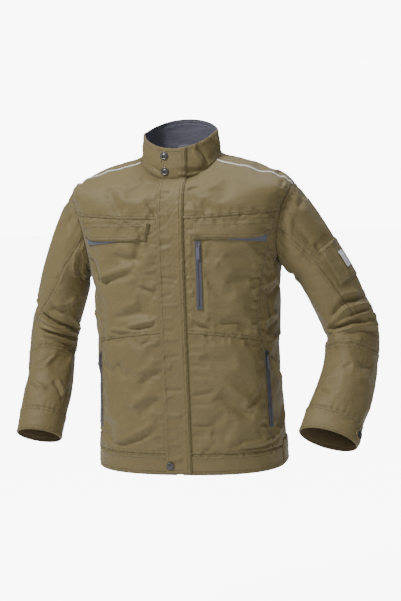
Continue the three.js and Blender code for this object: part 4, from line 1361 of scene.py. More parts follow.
# ---------------------------------------------------------------- settings
class ClothSettings(bpy.types.PropertyGroup):
    khaki: bpy.props.FloatVectorProperty(
        name="Khaki", description="Colour of the outer twill", subtype="COLOR", size=4, min=0, max=1,
        default=(0.150, 0.116, 0.044, 1.0))
    inside: bpy.props.FloatVectorProperty(
        name="Inside", description="Colour of the twill's back", subtype="COLOR", size=4, min=0, max=1,
        default=(0.125, 0.092, 0.043, 1.0))
    slate: bpy.props.FloatVectorProperty(
        name="Slate", description="Colour of the lining, accents and zip tapes", subtype="COLOR", size=4,
        min=0, max=1, default=(0.088, 0.088, 0.118, 1.0))
    thread: bpy.props.FloatVectorProperty(
        name="Thread", description="Colour of the topstitching", subtype="COLOR", size=4, min=0, max=1,
        default=(0.19, 0.145, 0.068, 1.0))
    fine: bpy.props.FloatProperty(
        name="Fine grid", description="Spacing of the front panels' faces", default=0.0026,
        min=0.001, max=0.02, unit="LENGTH")
    coarse: bpy.props.FloatProperty(
        name="Coarse grid", description="Spacing of the other panels' faces", default=0.0032,
        min=0.001, max=0.02, unit="LENGTH")
    spare: bpy.props.FloatProperty(
        name="Spare cloth", description="How much larger the cloth is than the body it settles on",
        default=0.02, min=0, max=0.2, subtype="FACTOR")
    wander: bpy.props.FloatProperty(
        name="Wander", description="How far the settling cloth may move", default=0.0045, min=0, max=0.03,
        unit="LENGTH")


class TrimSettings(bpy.types.PropertyGroup):
    stitch: bpy.props.FloatProperty(
        name="Stitch", description="Length from one stitch to the next", default=0.0034, min=0.001, max=0.01,
        unit="LENGTH")
    strand: bpy.props.FloatProperty(
        name="Thread", description="Thickness of the thread", default=0.0008, min=0.0002, max=0.003,
        unit="LENGTH")
    stud: bpy.props.FloatProperty(
        name="Stud", description="Radius of a press stud's cap", default=0.0085, min=0.003, max=0.02,
        unit="LENGTH")
    piping: bpy.props.FloatProperty(
        name="Piping", description="Radius of the piping", default=0.0018, min=0.0005, max=0.005,
        unit="LENGTH")


class StageSettings(bpy.types.PropertyGroup):
    distance: bpy.props.FloatProperty(
        name="Distance", description="Camera's distance from the jacket", default=3.0, min=0.5, max=20,
        unit="LENGTH")
    azimuth: bpy.props.FloatProperty(
        name="Azimuth", description="Camera's angle towards the wearer's left", default=math.radians(13),
        subtype="ANGLE")
    elevation: bpy.props.FloatProperty(
        name="Elevation", description="Camera's angle above level", default=math.radians(6.5),
        subtype="ANGLE")
    roll: bpy.props.FloatProperty(
        name="Roll", description="Camera's turn about its view", default=math.radians(-2.3), subtype="ANGLE")
    floor: bpy.props.FloatProperty(
        name="Floor", description="Height of the floor below the loop", default=-1.15, max=0, unit="LENGTH")


def khaki_materials():
    return [materials["khaki"], materials["inside"]]


class JACKET_OT_materials(bpy.types.Operator):
    """Makes the cloths, threads, plastics and metals"""

    bl_idname = "jacket.materials"
    bl_label = "Materials"

    def execute(self, context):
        colors = context.scene.jacket_cloth
        materials["khaki"] = cloth_material("Khaki twill", tuple(colors.khaki))
        materials["inside"] = cloth_material("Khaki twill back", tuple(colors.inside), sheen=0.05)
        materials["slate"] = cloth_material("Slate cloth", tuple(colors.slate), rib=0.0009)
        materials["loop"] = cloth_material("Loop tape", tuple(colors.slate), rib=0.0009, panel=False)
        tape_color = tinted(tuple(colors.slate), 0.7)
        materials["tape"] = cloth_material("Zip tape", tape_color, rib=0.0012, contrast=0.25, panel=False)
        materials["thread"] = solid_material("Topstitching", tuple(colors.thread), 0.7)
        materials["slate thread"] = solid_material("Slate thread", tinted(tuple(colors.slate), 1.3), 0.7)
        materials["teeth"] = solid_material("Zip teeth", (0.05, 0.05, 0.06, 1), 0.4, coat=0.2)
        materials["pull"] = solid_material("Zip pull", (0.10, 0.10, 0.125, 1), 0.55, scratch=60)
        materials["metal"] = solid_material("Dark nickel", (0.11, 0.105, 0.105, 1), 0.38, metallic=1.0)
        materials["black stud"] = solid_material("Black stud", (0.03, 0.03, 0.032, 1), 0.35, metallic=0.6)
        materials["piping"] = solid_material("Reflective piping", (0.66, 0.65, 0.61, 1), 0.42, scratch=300)
        materials["label"] = cloth_material(
            "Pale badge", (0.62, 0.60, 0.66, 1), rib=0.0014, contrast=0.06, panel=False)
        return {"FINISHED"}


class JACKET_OT_settle(bpy.types.Operator):
    """Lets the body's and the sleeves' cloth settle into creases"""

    bl_idname = "jacket.settle"
    bl_label = "Settle the cloth"

    def execute(self, context):
        settings = context.scene.jacket_cloth
        add_small_creases()
        cap = settings.wander / MM
        trunk.shift = settle(trunk, 0, NECK + COLLAR, 6.5, trunk_pin, settings.spare, cap)
        for sleeve in sleeves.values():
            pin = sleeve_pin(sleeve.length)
            sleeve.shift = settle(sleeve, 0, sleeve.length, 6, pin, settings.spare * 1.3, cap)
        return {"FINISHED"}


STITCHED = {
    "front_lower": ("left", "right", "bottom"),
    "front_chest": ("left", "right", "bottom"),
    "front_yoke": ("left", "bottom", "right"),
    "side_panel": ("bottom",),
}
HANGS_FROM = {
    "front_lower": "front_chest_{}", "front_chest": "front_yoke_{}", "front_yoke": "back_yoke",
    "side_panel": "front_chest_{}",
}


class JACKET_OT_body(bpy.types.Operator):
    """Makes the front, side and back panels"""

    bl_idname = "jacket.body"
    bl_label = "Body"

    def execute(self, context):
        settings = context.scene.jacket_cloth
        fine, coarse = settings.fine / MM, settings.coarse / MM
        for name, side in SIDES.items():
            for panel, outline in front_outlines(side).items():
                node = f"{panel}_{name}"
                grid = patch(trunk, *outline, coarse if panel == "side_panel" else fine)
                piece = cloth_piece(f"{node}_cloth", trunk, grid, {
                    "stitched": STITCHED[panel], "materials": khaki_materials(), "held": "hung",
                    "rests_on": [HANGS_FROM[panel].format(name)],
                })
                dress(piece, node, "root")
        for node, outline in back_outlines().items():
            grid = patch(trunk, *outline, coarse)
            piece = cloth_piece(f"{node}_cloth", trunk, grid, {
                "stitched": ("top", "bottom"), "materials": khaki_materials(), "held": "hung",
                "rests_on": ["hanger_loop" if node == "back_yoke" else "back_yoke"],
            })
            dress(piece, node, "root")
        return {"FINISHED"}


def dress(piece, node, body):
    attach(piece, body)
    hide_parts(node)


class JACKET_OT_hem(bpy.types.Operator):
    """Makes the hem band and its tabs"""

    bl_idname = "jacket.hem"
    bl_label = "Hem band"

    def execute(self, context):
        fine = context.scene.jacket_cloth.fine / MM
        spans = {
            "hem_band_left": (float(open_angle(0)), SIDE_SPLIT),
            "hem_band_right": (-SIDE_SPLIT, -float(open_angle(0))),
            "hem_band_back": (SIDE_SPLIT, 2 * math.pi - SIDE_SPLIT),
        }
        for node, (start, end) in spans.items():
            grid = rectangle(trunk, start, end, 0.3, HEM_BAND - 0.3, fine)
            piece = cloth_piece(f"{node}_cloth", trunk, grid, {
                "lift": 0.7, "thickness": 2.6, "stitched": ("bottom", "top"), "materials": khaki_materials(),
                "held": "folded", "rests_on": ["back_panel"],
            })
            dress(piece, node, "root")
        for name, side in SIDES.items():
            tab = HEM_TAB
            grid = rectangle(trunk, side * tab["from"], side * tab["to"], tab["low"], tab["high"], fine)
            node = f"hem_tab_{name}"
            piece = cloth_piece(f"{node}_cloth", trunk, grid, {
                "lift": 3.8, "thickness": 2.0, "stitched": ("bottom", "top", "left", "right"),
                "materials": khaki_materials(), "held": "laid", "rests_on": [f"hem_band_{name}"],
            })
            dress(piece, node, "root")
        return {"FINISHED"}


class JACKET_OT_collar(bpy.types.Operator):
    """Makes the stand collar and its lining"""

    bl_idname = "jacket.collar"
    bl_label = "Collar"

    def execute(self, context):
        fine = context.scene.jacket_cloth.fine / MM
        start = float(open_angle(NECK + COLLAR))
        outer = rectangle(trunk, start, 2 * math.pi - start, NECK + 0.6, NECK + COLLAR, fine)
        piece = cloth_piece("collar_outer_cloth", trunk, outer, {
            "stitched": ("top", "bottom"), "materials": [materials["khaki"], materials["slate"]],
            "held": "folded", "rests_on": ["back_yoke"],
        })
        dress(piece, "collar_outer", "root")
        lining = rectangle(trunk, start, 2 * math.pi - start, NECK - 1, NECK + COLLAR - 0.6, fine)
        piece = cloth_piece("collar_lining_cloth", trunk, lining, {
            "lift": -CLOTH - 0.1, "thickness": 1.4, "stitched": ("top",), "materials": [materials["slate"]],
            "held": "folded", "rests_on": ["collar_outer"],
        })
        dress(piece, "collar_lining", "root")
        return {"FINISHED"}


class JACKET_OT_storm_flap(bpy.types.Operator):
    """Makes the flap over the front zip"""

    bl_idname = "jacket.storm_flap"
    bl_label = "Storm flap"

    def execute(self, context):
        fine = context.scene.jacket_cloth.fine / MM
        v = np.linspace(3, NECK + COLLAR - 1, 200)
        x = np.linspace(FLAP_RIGHT, FLAP_LEFT, 30)
        free, sewn = edge(front_angle(FLAP_RIGHT, v), v), edge(front_angle(FLAP_LEFT, v), v)
        hem, top = edge(front_angle(x, v[0]), v[0]), edge(front_angle(x, v[-1]), v[-1])
        grid = patch(trunk, hem, top, free, sewn, fine)
        piece = cloth_piece("storm_flap_cloth", trunk, grid, {
            "lift": FLAP_LIFT + CLOTH, "thickness": CLOTH + 0.4,
            "stitched": ("left", "right", "bottom", "top"),
            "materials": khaki_materials(), "held": "laid", "rests_on": ["front_chest_left"],
        })
        dress(piece, "storm_flap", "root")
        return {"FINISHED"}


def flap_angle(x):
    """Angle of a point x from the centre, measured along the chest at the flap's height."""
    values = between(RINGS, (POCKET["top"] + POCKET["bottom"]) / 2)
    half, front, power = values[1], values[2], values[4]
    return np.arctan2(x, front * (1 - (x / half) ** power) ** (1 / power))


class JACKET_OT_pockets(bpy.types.Operator):
    """Makes the chest flaps, the accents under them and the pocket bags"""

    bl_idname = "jacket.pockets"
    bl_label = "Pockets"

    def execute(self, context):
        fine = context.scene.jacket_cloth.fine / MM
        for name, side in SIDES.items():
            x = np.linspace(POCKET["inner"], POCKET["outer"], 80)
            cut = np.maximum(0, x - (POCKET["outer"] - POCKET["chamfer"])) * 0.4
            low = edge(side * flap_angle(x), POCKET["bottom"] + cut)
            top = edge(side * flap_angle(x), POCKET["top"])
            start = 0 if side > 0 else POCKET["slant"]
            low[:, 0] = side * flap_angle(x + start * (1 - np.linspace(0, 1, 80)) ** 3)
            inner = joined_edge(low[0], top[0])
            outer = joined_edge(low[-1], top[-1])
            node = f"chest_flap_{name}"
            piece = cloth_piece(f"{node}_cloth", trunk, patch(trunk, low, top, inner, outer, fine), {
                "lift": POCKET["lift"] + CLOTH, "stitched": ("left", "right", "bottom", "top"),
                "materials": khaki_materials(), "held": "laid", "rests_on": [f"front_chest_{name}"],
            })
            dress(piece, node, f"flap_{name}")
            self.accent(name, side, fine)
            inner, outer = side * POCKET_BAG["from"], side * POCKET_BAG["to"]
            bag = rectangle(trunk, inner, outer, POCKET_BAG["low"], POCKET_BAG["high"], 6)
            piece = cloth_piece(f"pocket_bag_{name}_cloth", trunk, bag, {
                "lift": -CLOTH - 1.0, "thickness": 1.0, "stitched": ("left", "right", "bottom", "top"),
                "materials": [materials["slate"]], "held": "hung", "rests_on": [f"front_lower_{name}"],
            })
            dress(piece, f"pocket_bag_{name}", "root")
        return {"FINISHED"}

    def accent(self, name, side, spacing):
        share = np.linspace(0, 1, 40)
        x = ACCENT["inner"] + ACCENT["length"] * share
        low = edge(side * flap_angle(x), POCKET["bottom"] - ACCENT["low"] - ACCENT["slope"] * share)
        top = edge(side * flap_angle(x), POCKET["bottom"] + ACCENT["tuck"])
        inner = edge(low[0, 0], np.linspace(low[0, 1], top[0, 1], 10))
        outer = edge(low[-1, 0], np.linspace(low[-1, 1], top[-1, 1], 10))
        grid = patch(trunk, low, top, inner, outer, spacing)
        piece = cloth_piece(f"flap_accent_{name}_cloth", trunk, grid, {
            "lift": 1.7, "thickness": 0.8, "materials": [materials["slate"]], "held": "laid",
            "rests_on": [f"front_chest_{name}"],
        })
        dress(piece, f"flap_accent_{name}", "root")


def seam_angle(line, v):
    """Angle of a sleeve seam at v, from its table of (degrees, mm)."""
    angles, places = np.radians([p[0] for p in line]), [p[1] for p in line]
    return np.interp(v, places, angles)


class JACKET_OT_sleeves(bpy.types.Operator):
    """Makes the sleeves, their elbows, forearms and cuffs"""

    bl_idname = "jacket.sleeves"
    bl_label = "Sleeves"

    def execute(self, context):
        fine = context.scene.jacket_cloth.fine / MM
        for name, sleeve in sleeves.items():
            self.upper(name, sleeve, fine)
            self.lower(name, sleeve, fine)
        return {"FINISHED"}

    def upper(self, name, sleeve, spacing):
        end = sleeve.length * ELBOW_START
        v = np.linspace(0, end, 80)
        front = edge(seam_angle(FRONT_SEAM[name], v), v)
        rear = edge(seam_angle(UNDER_SEAM, v) - 2 * math.pi, v)
        under = edge(seam_angle(UNDER_SEAM, v), v)
        for node, left, right in (("upper_sleeve", rear, front), ("under_sleeve", front, under)):
            share = np.linspace(0, 1, 80)
            low = edge(left[0, 0] + (right[0, 0] - left[0, 0]) * share, 0)
            high = edge(left[-1, 0] + (right[-1, 0] - left[-1, 0]) * share, end)
            grid = patch(sleeve, low, high, left, right, spacing)
            piece = cloth_piece(f"{node}_{name}_cloth", sleeve, grid, {
                "stitched": ("left", "right", "bottom"), "materials": khaki_materials(), "held": "hung",
                "rests_on": ["back_yoke"],
            })
            shoulder_blend(piece, name, sleeve)
            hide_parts(f"{node}_{name}")

    def lower(self, name, sleeve, spacing):
        length = sleeve.length
        elbow, forearm, wrist = length * ELBOW_START, length * ELBOW_END, length - CUFF
        piece = self.ring(f"elbow_{name}", sleeve, elbow, forearm, spacing, {"stitched": ("top",)})
        elbow_blend(piece, name, sleeve)
        piece = self.ring(f"forearm_{name}", sleeve, forearm, wrist, spacing, {"stitched": ("bottom",)})
        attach(piece, f"forearm_{name}")
        piece = self.ring(f"cuff_{name}", sleeve, wrist, length, spacing, {
            "stitched": ("bottom", "top"), "lift": 0.9, "thickness": 2.3, "held": "folded"})
        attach(piece, f"forearm_{name}")

    def ring(self, node, sleeve, start, end, spacing, options):
        columns = int(2 * math.pi * sleeve.ROUND / spacing)
        rows = int((end - start) / spacing) + 2
        u = np.linspace(0, 2 * math.pi, columns, endpoint=False)[:, None] + np.zeros((1, rows))
        v = np.zeros((columns, 1)) + np.linspace(start, end, rows)[None]
        settings = {"closed": True, "materials": khaki_materials(), "held": "hung", "rests_on": ["back_yoke"]}
        settings.update(options)
        piece = cloth_piece(f"{node}_cloth", sleeve, np.stack([u, v], -1), settings)
        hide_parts(node)
        return piece


def shoulder_blend(piece, name, sleeve):
    """The sleeve head stays with the body at the armhole and turns with the sleeve below it."""
    way = np.array([0.8 * sleeve.side, 0.0, -0.6])
    ring = sleeve.point(np.linspace(0, 2 * math.pi, 24), np.zeros(24))
    start = ring.mean(0)
    start = start + way * ((ring - start) @ way).max()
    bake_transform(piece, "root", f"sleeve_{name}", tuple(to_frame(start)), tuple(to_frame(start + way * 95)))


def elbow_blend(piece, name, sleeve):
    """The elbow's cloth turns with the upper sleeve at its top and with the forearm at its foot."""
    low, high = sleeve.length * ELBOW_START, sleeve.length * ELBOW_END
    turns = np.linspace(0, 2 * math.pi, 24)
    first, last = sleeve.point(turns, np.full(24, low)), sleeve.point(turns, np.full(24, high))
    way = last.mean(0) - first.mean(0)
    way /= np.linalg.norm(way)
    middle = first.mean(0)
    start = middle + way * ((first - middle) @ way).max()
    end = middle + way * ((last - middle) @ way).min()
    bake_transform(piece, f"sleeve_{name}", f"forearm_{name}", tuple(to_frame(start)), tuple(to_frame(end)))


class JACKET_OT_cuff_tabs(bpy.types.Operator):
    """Makes the tabs on the cuffs"""

    bl_idname = "jacket.cuff_tabs"
    bl_label = "Cuff tabs"

    def execute(self, context):
        for name, sleeve in sleeves.items():
            middle = sleeve.length - CUFF + CUFF_TAB["inset"] + CUFF_TAB["height"] / 2
            plain = np.linspace(CUFF_TAB["from"], CUFF_TAB["to"], 50)
            u = plain + CUFF_TURN[name]
            taper = np.maximum(1 - smooth((np.degrees(plain) - CUFF_TAB["tip"]) / 12), 0.45)
            half = CUFF_TAB["height"] / 2 * taper
            low, high = edge(u, middle - half), edge(u, middle + half)
            left = edge(u[0], np.linspace(low[0, 1], high[0, 1], 20))
            right = edge(u[-1], np.linspace(low[-1, 1], high[-1, 1], 20))
            node = f"cuff_tab_{name}"
            piece = cloth_piece(f"{node}_cloth", sleeve, patch(sleeve, low, high, left, right, 2.0), {
                "lift": 1.9 + CLOTH, "stitched": ("left", "right", "bottom", "top"),
                "materials": khaki_materials(), "held": "laid", "rests_on": [f"cuff_{name}"],
            })
            dress(piece, node, f"cuff_tab_{name}")
        return {"FINISHED"}


class JACKET_OT_badge(bpy.types.Operator):
    """Makes the sleeve pocket and the plain badge on it"""

    bl_idname = "jacket.badge"
    bl_label = "Sleeve pocket and badge"

    def execute(self, context):
        sleeve = sleeves["left"]
        pocket = SLEEVE_POCKET
        grid = rectangle(sleeve, pocket["from"], pocket["to"], pocket["top"], pocket["bottom"], 2.6)
        piece = cloth_piece("sleeve_pocket_cloth", sleeve, grid, {
            "lift": 1.9, "thickness": 1.2, "stitched": ("left", "right", "bottom", "top"),
            "materials": khaki_materials(), "held": "laid", "rests_on": ["upper_sleeve_left"],
        })
        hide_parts("sleeve_pocket")
        shoulder_blend(piece, "left", sleeve)
        finished_copy("sleeve_label", "sleeve_label_badge", materials["label"], 0.0004)
        return {"FINISHED"}


STUD_PROFILE = [
    (0, 0), (0.9, 0), (0.97, 0.08), (1.0, 0.2), (0.97, 0.34), (0.86, 0.42), (0.74, 0.38), (0.66, 0.3),
    (0.6, 0.3), (0.5, 0.36), (0.3, 0.4), (0.12, 0.41), (0, 0.41),
]


class JACKET_OT_studs(bpy.types.Operator):
    """Makes the press studs"""

    bl_idname = "jacket.studs"
    bl_label = "Press studs"

    def execute(self, context):
        radius = context.scene.jacket_trim.stud / MM
        profile = [(r * radius, h * 7.0) for r, h in STUD_PROFILE]
        spots = {
            "snap_collar_top": (-21, NECK + 50), "snap_collar_low": (-20, NECK + 18), "snap_hem": (-20, 20),
        }
        for node, (x, v) in spots.items():
            self.stud(node, trunk, float(front_angle(x, v)), v, FLAP_LIFT + CLOTH, profile, "metal", "root")
        for name, sleeve in sleeves.items():
            v = sleeve.length - CUFF + CUFF_TAB["inset"] + CUFF_TAB["height"] / 2
            node = f"snap_cuff_{name}"
            turn = CUFF_STUD + CUFF_TURN[name]
            self.stud(node, sleeve, turn, v, 3.4, profile, "black stud", f"cuff_tab_{name}")
        return {"FINISHED"}

    def stud(self, node, surface, u, v, lift, profile, material, body):
        place, normal = surface.cloth(u, v, lift), surface.normal(u, v)
        piece = lathe(f"{node}_stud", profile, 40, place, normal)
        piece.data.materials.append(materials[material])
        dress(piece, node, body)


class JACKET_OT_piping(bpy.types.Operator):
    """Makes the reflective piping in the shoulder seams"""

    bl_idname = "jacket.piping"
    bl_label = "Piping"

    def execute(self, context):
        radius = context.scene.jacket_trim.piping / MM
        for name, side in SIDES.items():
            line = piping_line(side, np.linspace(0, 1, 90))
            path = trunk.cloth(line[:, 0], line[:, 1], radius * 0.55)
            curve = bpy.data.curves.new(f"piping_{name}_cord", "CURVE")
            curve.dimensions = "3D"
            curve.bevel_depth = radius * MM
            curve.bevel_resolution = 3
            curve.use_fill_caps = True
            spline = curve.splines.new("POLY")
            spline.points.add(len(path) - 1)
            for point, place in zip(spline.points, to_frame(path)):
                point.co = (*place, 1.0)
            piece = bpy.data.objects.new(f"piping_{name}_trim", curve)
            bpy.context.scene.collection.objects.link(piece)
            apply_curve(piece, materials["piping"])
            dress(bpy.data.objects[f"piping_{name}_trim"], f"piping_{name}", "root")
        return {"FINISHED"}


def apply_curve(piece, material):
    """Replaces a curve object by a mesh object of the same name."""
    depsgraph = bpy.context.evaluated_depsgraph_get()
    mesh = bpy.data.meshes.new_from_object(piece.evaluated_get(depsgraph), depsgraph=depsgraph)
    name = piece.name
    bpy.data.objects.remove(piece)
    mesh.materials.clear()
    mesh.materials.append(material)
    for polygon in mesh.polygons:
        polygon.use_smooth = True
    made = bpy.data.objects.new(name, mesh)
    bpy.context.scene.collection.objects.link(made)
    return made


class JACKET_OT_zips(bpy.types.Operator):
    """Finishes the zips: tapes, teeth, sliders and pulls"""

    bl_idname = "jacket.zips"
    bl_label = "Zips"

    def execute(self, context):
        for name in ("chest", "side_left", "side_right"):
            finished_copy(f"{name}_zip_slider", f"{name}_zip_slider_body", materials["metal"], 0.0003)
            finished_copy(f"{name}_zip_pull", f"{name}_zip_pull_grip", materials["pull"], 0.0004)
            self.teeth(name)
            frame["nodes"][f"{name}_zip_tape"].data.materials.clear()
            frame["nodes"][f"{name}_zip_tape"].data.materials.append(materials["tape"])
        for node in ("front_zip_left", "front_zip_right"):
            frame["nodes"][node].data.materials.clear()
            frame["nodes"][node].data.materials.append(materials["tape"])
        finished_copy("front_zip_slider", "front_zip_slider_body", materials["metal"], 0.0002)
        finished_copy("front_zip_pull", "front_zip_pull_grip", materials["pull"], 0.0003)
        return {"FINISHED"}

    def teeth(self, name):
        """A row of teeth up the middle of the tape, leaving a short bare length at each end."""
        corners = np.array([tuple(v.co) for v in frame["nodes"][f"{name}_zip_tape"].data.vertices])
        heights = corners[:, 2]
        upper = corners[heights > heights.max() - ZIP_END].mean(0)
        lower = corners[heights < heights.min() + ZIP_END].mean(0)
        way = (upper - lower) / np.linalg.norm(upper - lower)
        start, end = lower + way * ZIP_END, upper - way * ZIP_END
        path = np.linspace(start, end, 60) / MM + HOOK
        piece = beads_on(f"{name}_zip_teeth", [path], materials["teeth"], 0.0016, 0.0011, 0.0024, 0.0024)
        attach(piece, "root")


class JACKET_OT_loop(bpy.types.Operator):
    """Finishes the hanger loop"""

    bl_idname = "jacket.loop"
    bl_label = "Hanger loop"

    def execute(self, context):
        finished_copy("hanger_loop", "hanger_loop_tape", materials["loop"], 0.0003)
        return {"FINISHED"}


class JACKET_OT_stitching(bpy.types.Operator):
    """Sews the rows of topstitching"""

    bl_idname = "jacket.stitching"
    bl_label = "Stitching"

    def execute(self, context):
        trim = context.scene.jacket_trim
        self.look = (materials["thread"], trim.stitch, trim.stitch * 0.72, trim.strand, trim.strand)
        self.body_rows()
        for name, sleeve in sleeves.items():
            self.sleeve_rows(name, sleeve)
            self.flap_rows(name)
        return {"FINISHED"}

    def sew(self, name, paths):
        material, spacing, length, width, height = self.look
        piece = beads_on(name, paths, material, spacing, length, width, height)
        return piece

    def body_rows(self):
        first, second = SEAM_ROWS
        paths = []
        for side in SIDES.values():
            outlines = front_outlines(side)
            for panel, places in (("front_lower", (3,)), ("front_chest", (0, 3)), ("front_yoke", (0,))):
                for place in places:
                    centre = np.array(outlines[panel][2][len(outlines[panel][2]) // 2])
                    paths += inset_rows(trunk, outlines[panel][place], centre, (first, second), 0.55)
        backs = back_outlines()
        for node, place, height in (("back_panel", 1, 300.0), ("back_yoke", 0, 640.0)):
            centre = np.array([math.pi, height])
            paths += inset_rows(trunk, backs[node][place], centre, (first, second), 0.55)
        around = np.linspace(0, 2 * math.pi, 700)
        for height in (first, second, HEM_BAND - first):
            paths.append(trunk.cloth(around, np.full(700, height), 1.5))
        for height in (NECK + COLLAR - first, NECK + COLLAR - second, NECK + second):
            start = float(open_angle(height))
            angles = np.linspace(start, 2 * math.pi - start, 300)
            paths.append(trunk.cloth(angles, np.full(300, height), 0.4))
        v = np.linspace(6, NECK + COLLAR - 3, 400)
        for x in (FLAP_RIGHT + first, FLAP_LEFT - first, FLAP_LEFT - second):
            paths.append(trunk.cloth(front_angle(x, v), v, FLAP_LIFT + CLOTH + 0.55))
        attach(self.sew("stitches_body", paths), "root")

    def flap_rows(self, name):
        side = SIDES[name]
        x = np.linspace(POCKET["inner"] + 2, POCKET["outer"] - 2, 120)
        cut = np.maximum(0, x - (POCKET["outer"] - POCKET["chamfer"])) * 0.4
        lift = POCKET["lift"] + CLOTH + 0.45
        paths = [trunk.cloth(side * flap_angle(x), POCKET["bottom"] + 2 + cut, lift)]
        for height in (POCKET["top"] - 2, POCKET["top"] - 8):
            paths.append(trunk.cloth(side * flap_angle(x), np.full(120, float(height)), lift))
        for x_end in (POCKET["inner"] + 2, POCKET["outer"] - 2):
            low = POCKET["bottom"] + 2 + max(0, x_end - (POCKET["outer"] - POCKET["chamfer"])) * 0.4
            v = np.linspace(low, POCKET["top"] - 2, 20)
            paths.append(trunk.cloth(np.full(20, float(side * flap_angle(x_end))), v, lift))
        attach(self.sew(f"stitches_flap_{name}", paths), f"flap_{name}")

    def sleeve_rows(self, name, sleeve):
        first, second = SEAM_ROWS
        elbow, forearm = sleeve.length * ELBOW_START, sleeve.length * ELBOW_END
        wrist = sleeve.length - CUFF
        spans = {"upper": (first, elbow), "elbow": (elbow, forearm), "forearm": (forearm, wrist)}
        for part, (low, high) in spans.items():
            v = np.linspace(low, high, 160)
            paths = []
            for line in (FRONT_SEAM[name], UNDER_SEAM):
                for away in (-first, -second):
                    paths.append(sleeve.cloth(seam_angle(line, v) + away / sleeve.ROUND, v, 0.5))
            around = np.linspace(0, 2 * math.pi, 260)
            if part == "upper":
                paths += [sleeve.cloth(around, np.full(260, away), 0.5) for away in (first, second)]
            if part == "forearm":
                heights = (forearm + first, forearm + second)
                paths += [sleeve.cloth(around, np.full(260, height), 0.5) for height in heights]
                heights = (wrist + first, sleeve.length - first)
                paths += [sleeve.cloth(around, np.full(260, height), 1.5) for height in heights]
            piece = self.sew(f"stitches_{part}_{name}", paths)
            if part == "upper":
                shoulder_blend(piece, name, sleeve)
            elif part == "elbow":
                elbow_blend(piece, name, sleeve)
            else:
                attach(piece, f"forearm_{name}")


def inset_rows(surface, line, centre, distances, lift):
    """Rows of stitches parallel to an edge, on the side of the point given."""
    places = respaced(line, 240, surface)
    u, v = places[:, 0], places[:, 1]
    points = surface.point(u, v)
    along = np.gradient(points, axis=0)
    along /= np.linalg.norm(along, axis=1, keepdims=True)
    inward = np.cross(surface.normal(u, v), along)
    target = surface.point(np.full(240, centre[0]), np.full(240, centre[1]))
    inward *= np.sign(((target - points) * inward).sum(1, keepdims=True))
    du = (surface.point(u + 0.01, v) - surface.point(u - 0.01, v)) / 0.02
    dv = (surface.point(u, v + 1) - surface.point(u, v - 1)) / 2
    rows = []
    for distance in distances:
        step = inward * distance
        move_u = (step * du).sum(1) / (du * du).sum(1)
        move_v = (step * dv).sum(1) / (dv * dv).sum(1)
        rows.append(surface.cloth(u + move_u, v + move_v, lift))
    return rows


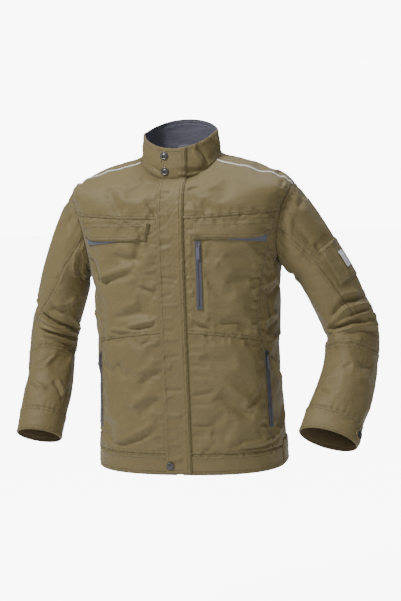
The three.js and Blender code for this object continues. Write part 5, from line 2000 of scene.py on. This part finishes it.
class JACKET_OT_stage(bpy.types.Operator):
    """Makes the floor, the lights and the camera"""

    bl_idname = "jacket.stage"
    bl_label = "Stage"

    def execute(self, context):
        settings = context.scene.jacket_stage
        target = Vector(to_frame((0, 0, 365.2)))
        self.floor(settings)
        self.world(context)
        lights = (
            ("key light", (-1.5, -1.7, 2.2), 0.6, 125),
            ("fill light", (0.8, -3.2, 0.6), 1.4, 26),
            ("top light", (0.6, 0.5, 2.3), 0.8, 40),
        )
        for name, place, size, power in lights:
            light = bpy.data.lights.new(name, "AREA")
            light.shape = "DISK"
            light.size = size
            light.energy = power
            lamp = bpy.data.objects.new(name, light)
            lamp.location = place
            lamp.rotation_euler = (target - lamp.location).to_track_quat("-Z", "Y").to_euler()
            context.scene.collection.objects.link(lamp)
        camera = bpy.data.cameras.new("camera")
        camera.lens = 82.43
        camera.shift_x, camera.shift_y = 0.0216, -0.0067
        view = bpy.data.objects.new("camera", camera)
        level = math.cos(settings.elevation)
        away = Vector((
            math.sin(settings.azimuth) * level, -math.cos(settings.azimuth) * level,
            math.sin(settings.elevation)))
        turn = (-away).to_track_quat("-Z", "Y").to_matrix().to_4x4() @ Matrix.Rotation(settings.roll, 4, "Z")
        view.matrix_world = Matrix.Translation(target + away * settings.distance) @ turn
        context.scene.collection.objects.link(view)
        context.scene.camera = view
        return {"FINISHED"}

    def floor(self, settings):
        form = bmesh.new()
        bmesh.ops.create_grid(form, x_segments=2, y_segments=2, size=14)
        mesh = bpy.data.meshes.new("floor")
        form.to_mesh(mesh)
        form.free()
        mesh.transform(Matrix.Translation((0, 0, settings.floor)))
        material = bpy.data.materials.new("Pale floor")
        material.use_nodes = True
        tree = material.node_tree
        shader = tree.nodes["Principled BSDF"]
        seen = tree.nodes.new("ShaderNodeLightPath").outputs["Is Camera Ray"]
        tree.links.new(ranged(tree, seen, 0, 1, 0.2, 8.0), shader.inputs["Emission Strength"])
        shader.inputs["Base Color"].default_value = (0.92, 0.92, 0.92, 1)
        shader.inputs["Roughness"].default_value = 0.9
        shader.inputs["Emission Color"].default_value = (1, 1, 1, 1)
        mesh.materials.append(material)
        floor = bpy.data.objects.new("floor", mesh)
        bpy.context.scene.collection.objects.link(floor)

    def world(self, context):
        world = bpy.data.worlds.new("studio")
        world.use_nodes = True
        tree = world.node_tree
        tree.nodes["Background"].inputs["Color"].default_value = (1, 1, 1, 1)
        seen = tree.nodes.new("ShaderNodeLightPath").outputs["Is Camera Ray"]
        tree.links.new(ranged(tree, seen, 0, 1, 0.12, 9.0), tree.nodes["Background"].inputs["Strength"])
        context.scene.world = world


class JACKET_PT_panel(bpy.types.Panel):
    """The jacket's sizes, colours and steps"""

    bl_idname = "JACKET_PT_panel"
    bl_label = "Work jacket"
    bl_space_type = "VIEW_3D"
    bl_region_type = "UI"
    bl_category = "Jacket"

    def draw(self, context):
        for settings in (context.scene.jacket_cloth, context.scene.jacket_trim, context.scene.jacket_stage):
            box = self.layout.box()
            for name in settings.__annotations__:
                box.prop(settings, name)
        for operator in OPERATORS:
            self.layout.operator(operator.bl_idname)


OPERATORS = (
    JACKET_OT_materials, JACKET_OT_settle, JACKET_OT_body, JACKET_OT_hem, JACKET_OT_collar,
    JACKET_OT_storm_flap, JACKET_OT_pockets, JACKET_OT_sleeves, JACKET_OT_cuff_tabs, JACKET_OT_badge,
    JACKET_OT_studs, JACKET_OT_piping, JACKET_OT_zips, JACKET_OT_loop, JACKET_OT_stitching, JACKET_OT_stage,
)
GROUPS = {"jacket_cloth": ClothSettings, "jacket_trim": TrimSettings, "jacket_stage": StageSettings}


def register():
    for kind in (*GROUPS.values(), *OPERATORS, JACKET_PT_panel):
        bpy.utils.register_class(kind)
    for name, kind in GROUPS.items():
        setattr(bpy.types.Scene, name, bpy.props.PointerProperty(type=kind))


def unregister():
    for name in GROUPS:
        delattr(bpy.types.Scene, name)
    for kind in (JACKET_PT_panel, *reversed(OPERATORS), *reversed(GROUPS.values())):
        bpy.utils.unregister_class(kind)


def main():
    register()
    for operator in OPERATORS:
        group, name = operator.bl_idname.split(".")
        getattr(getattr(bpy.ops, group), name)()


if __name__ == "__main__":
    main()
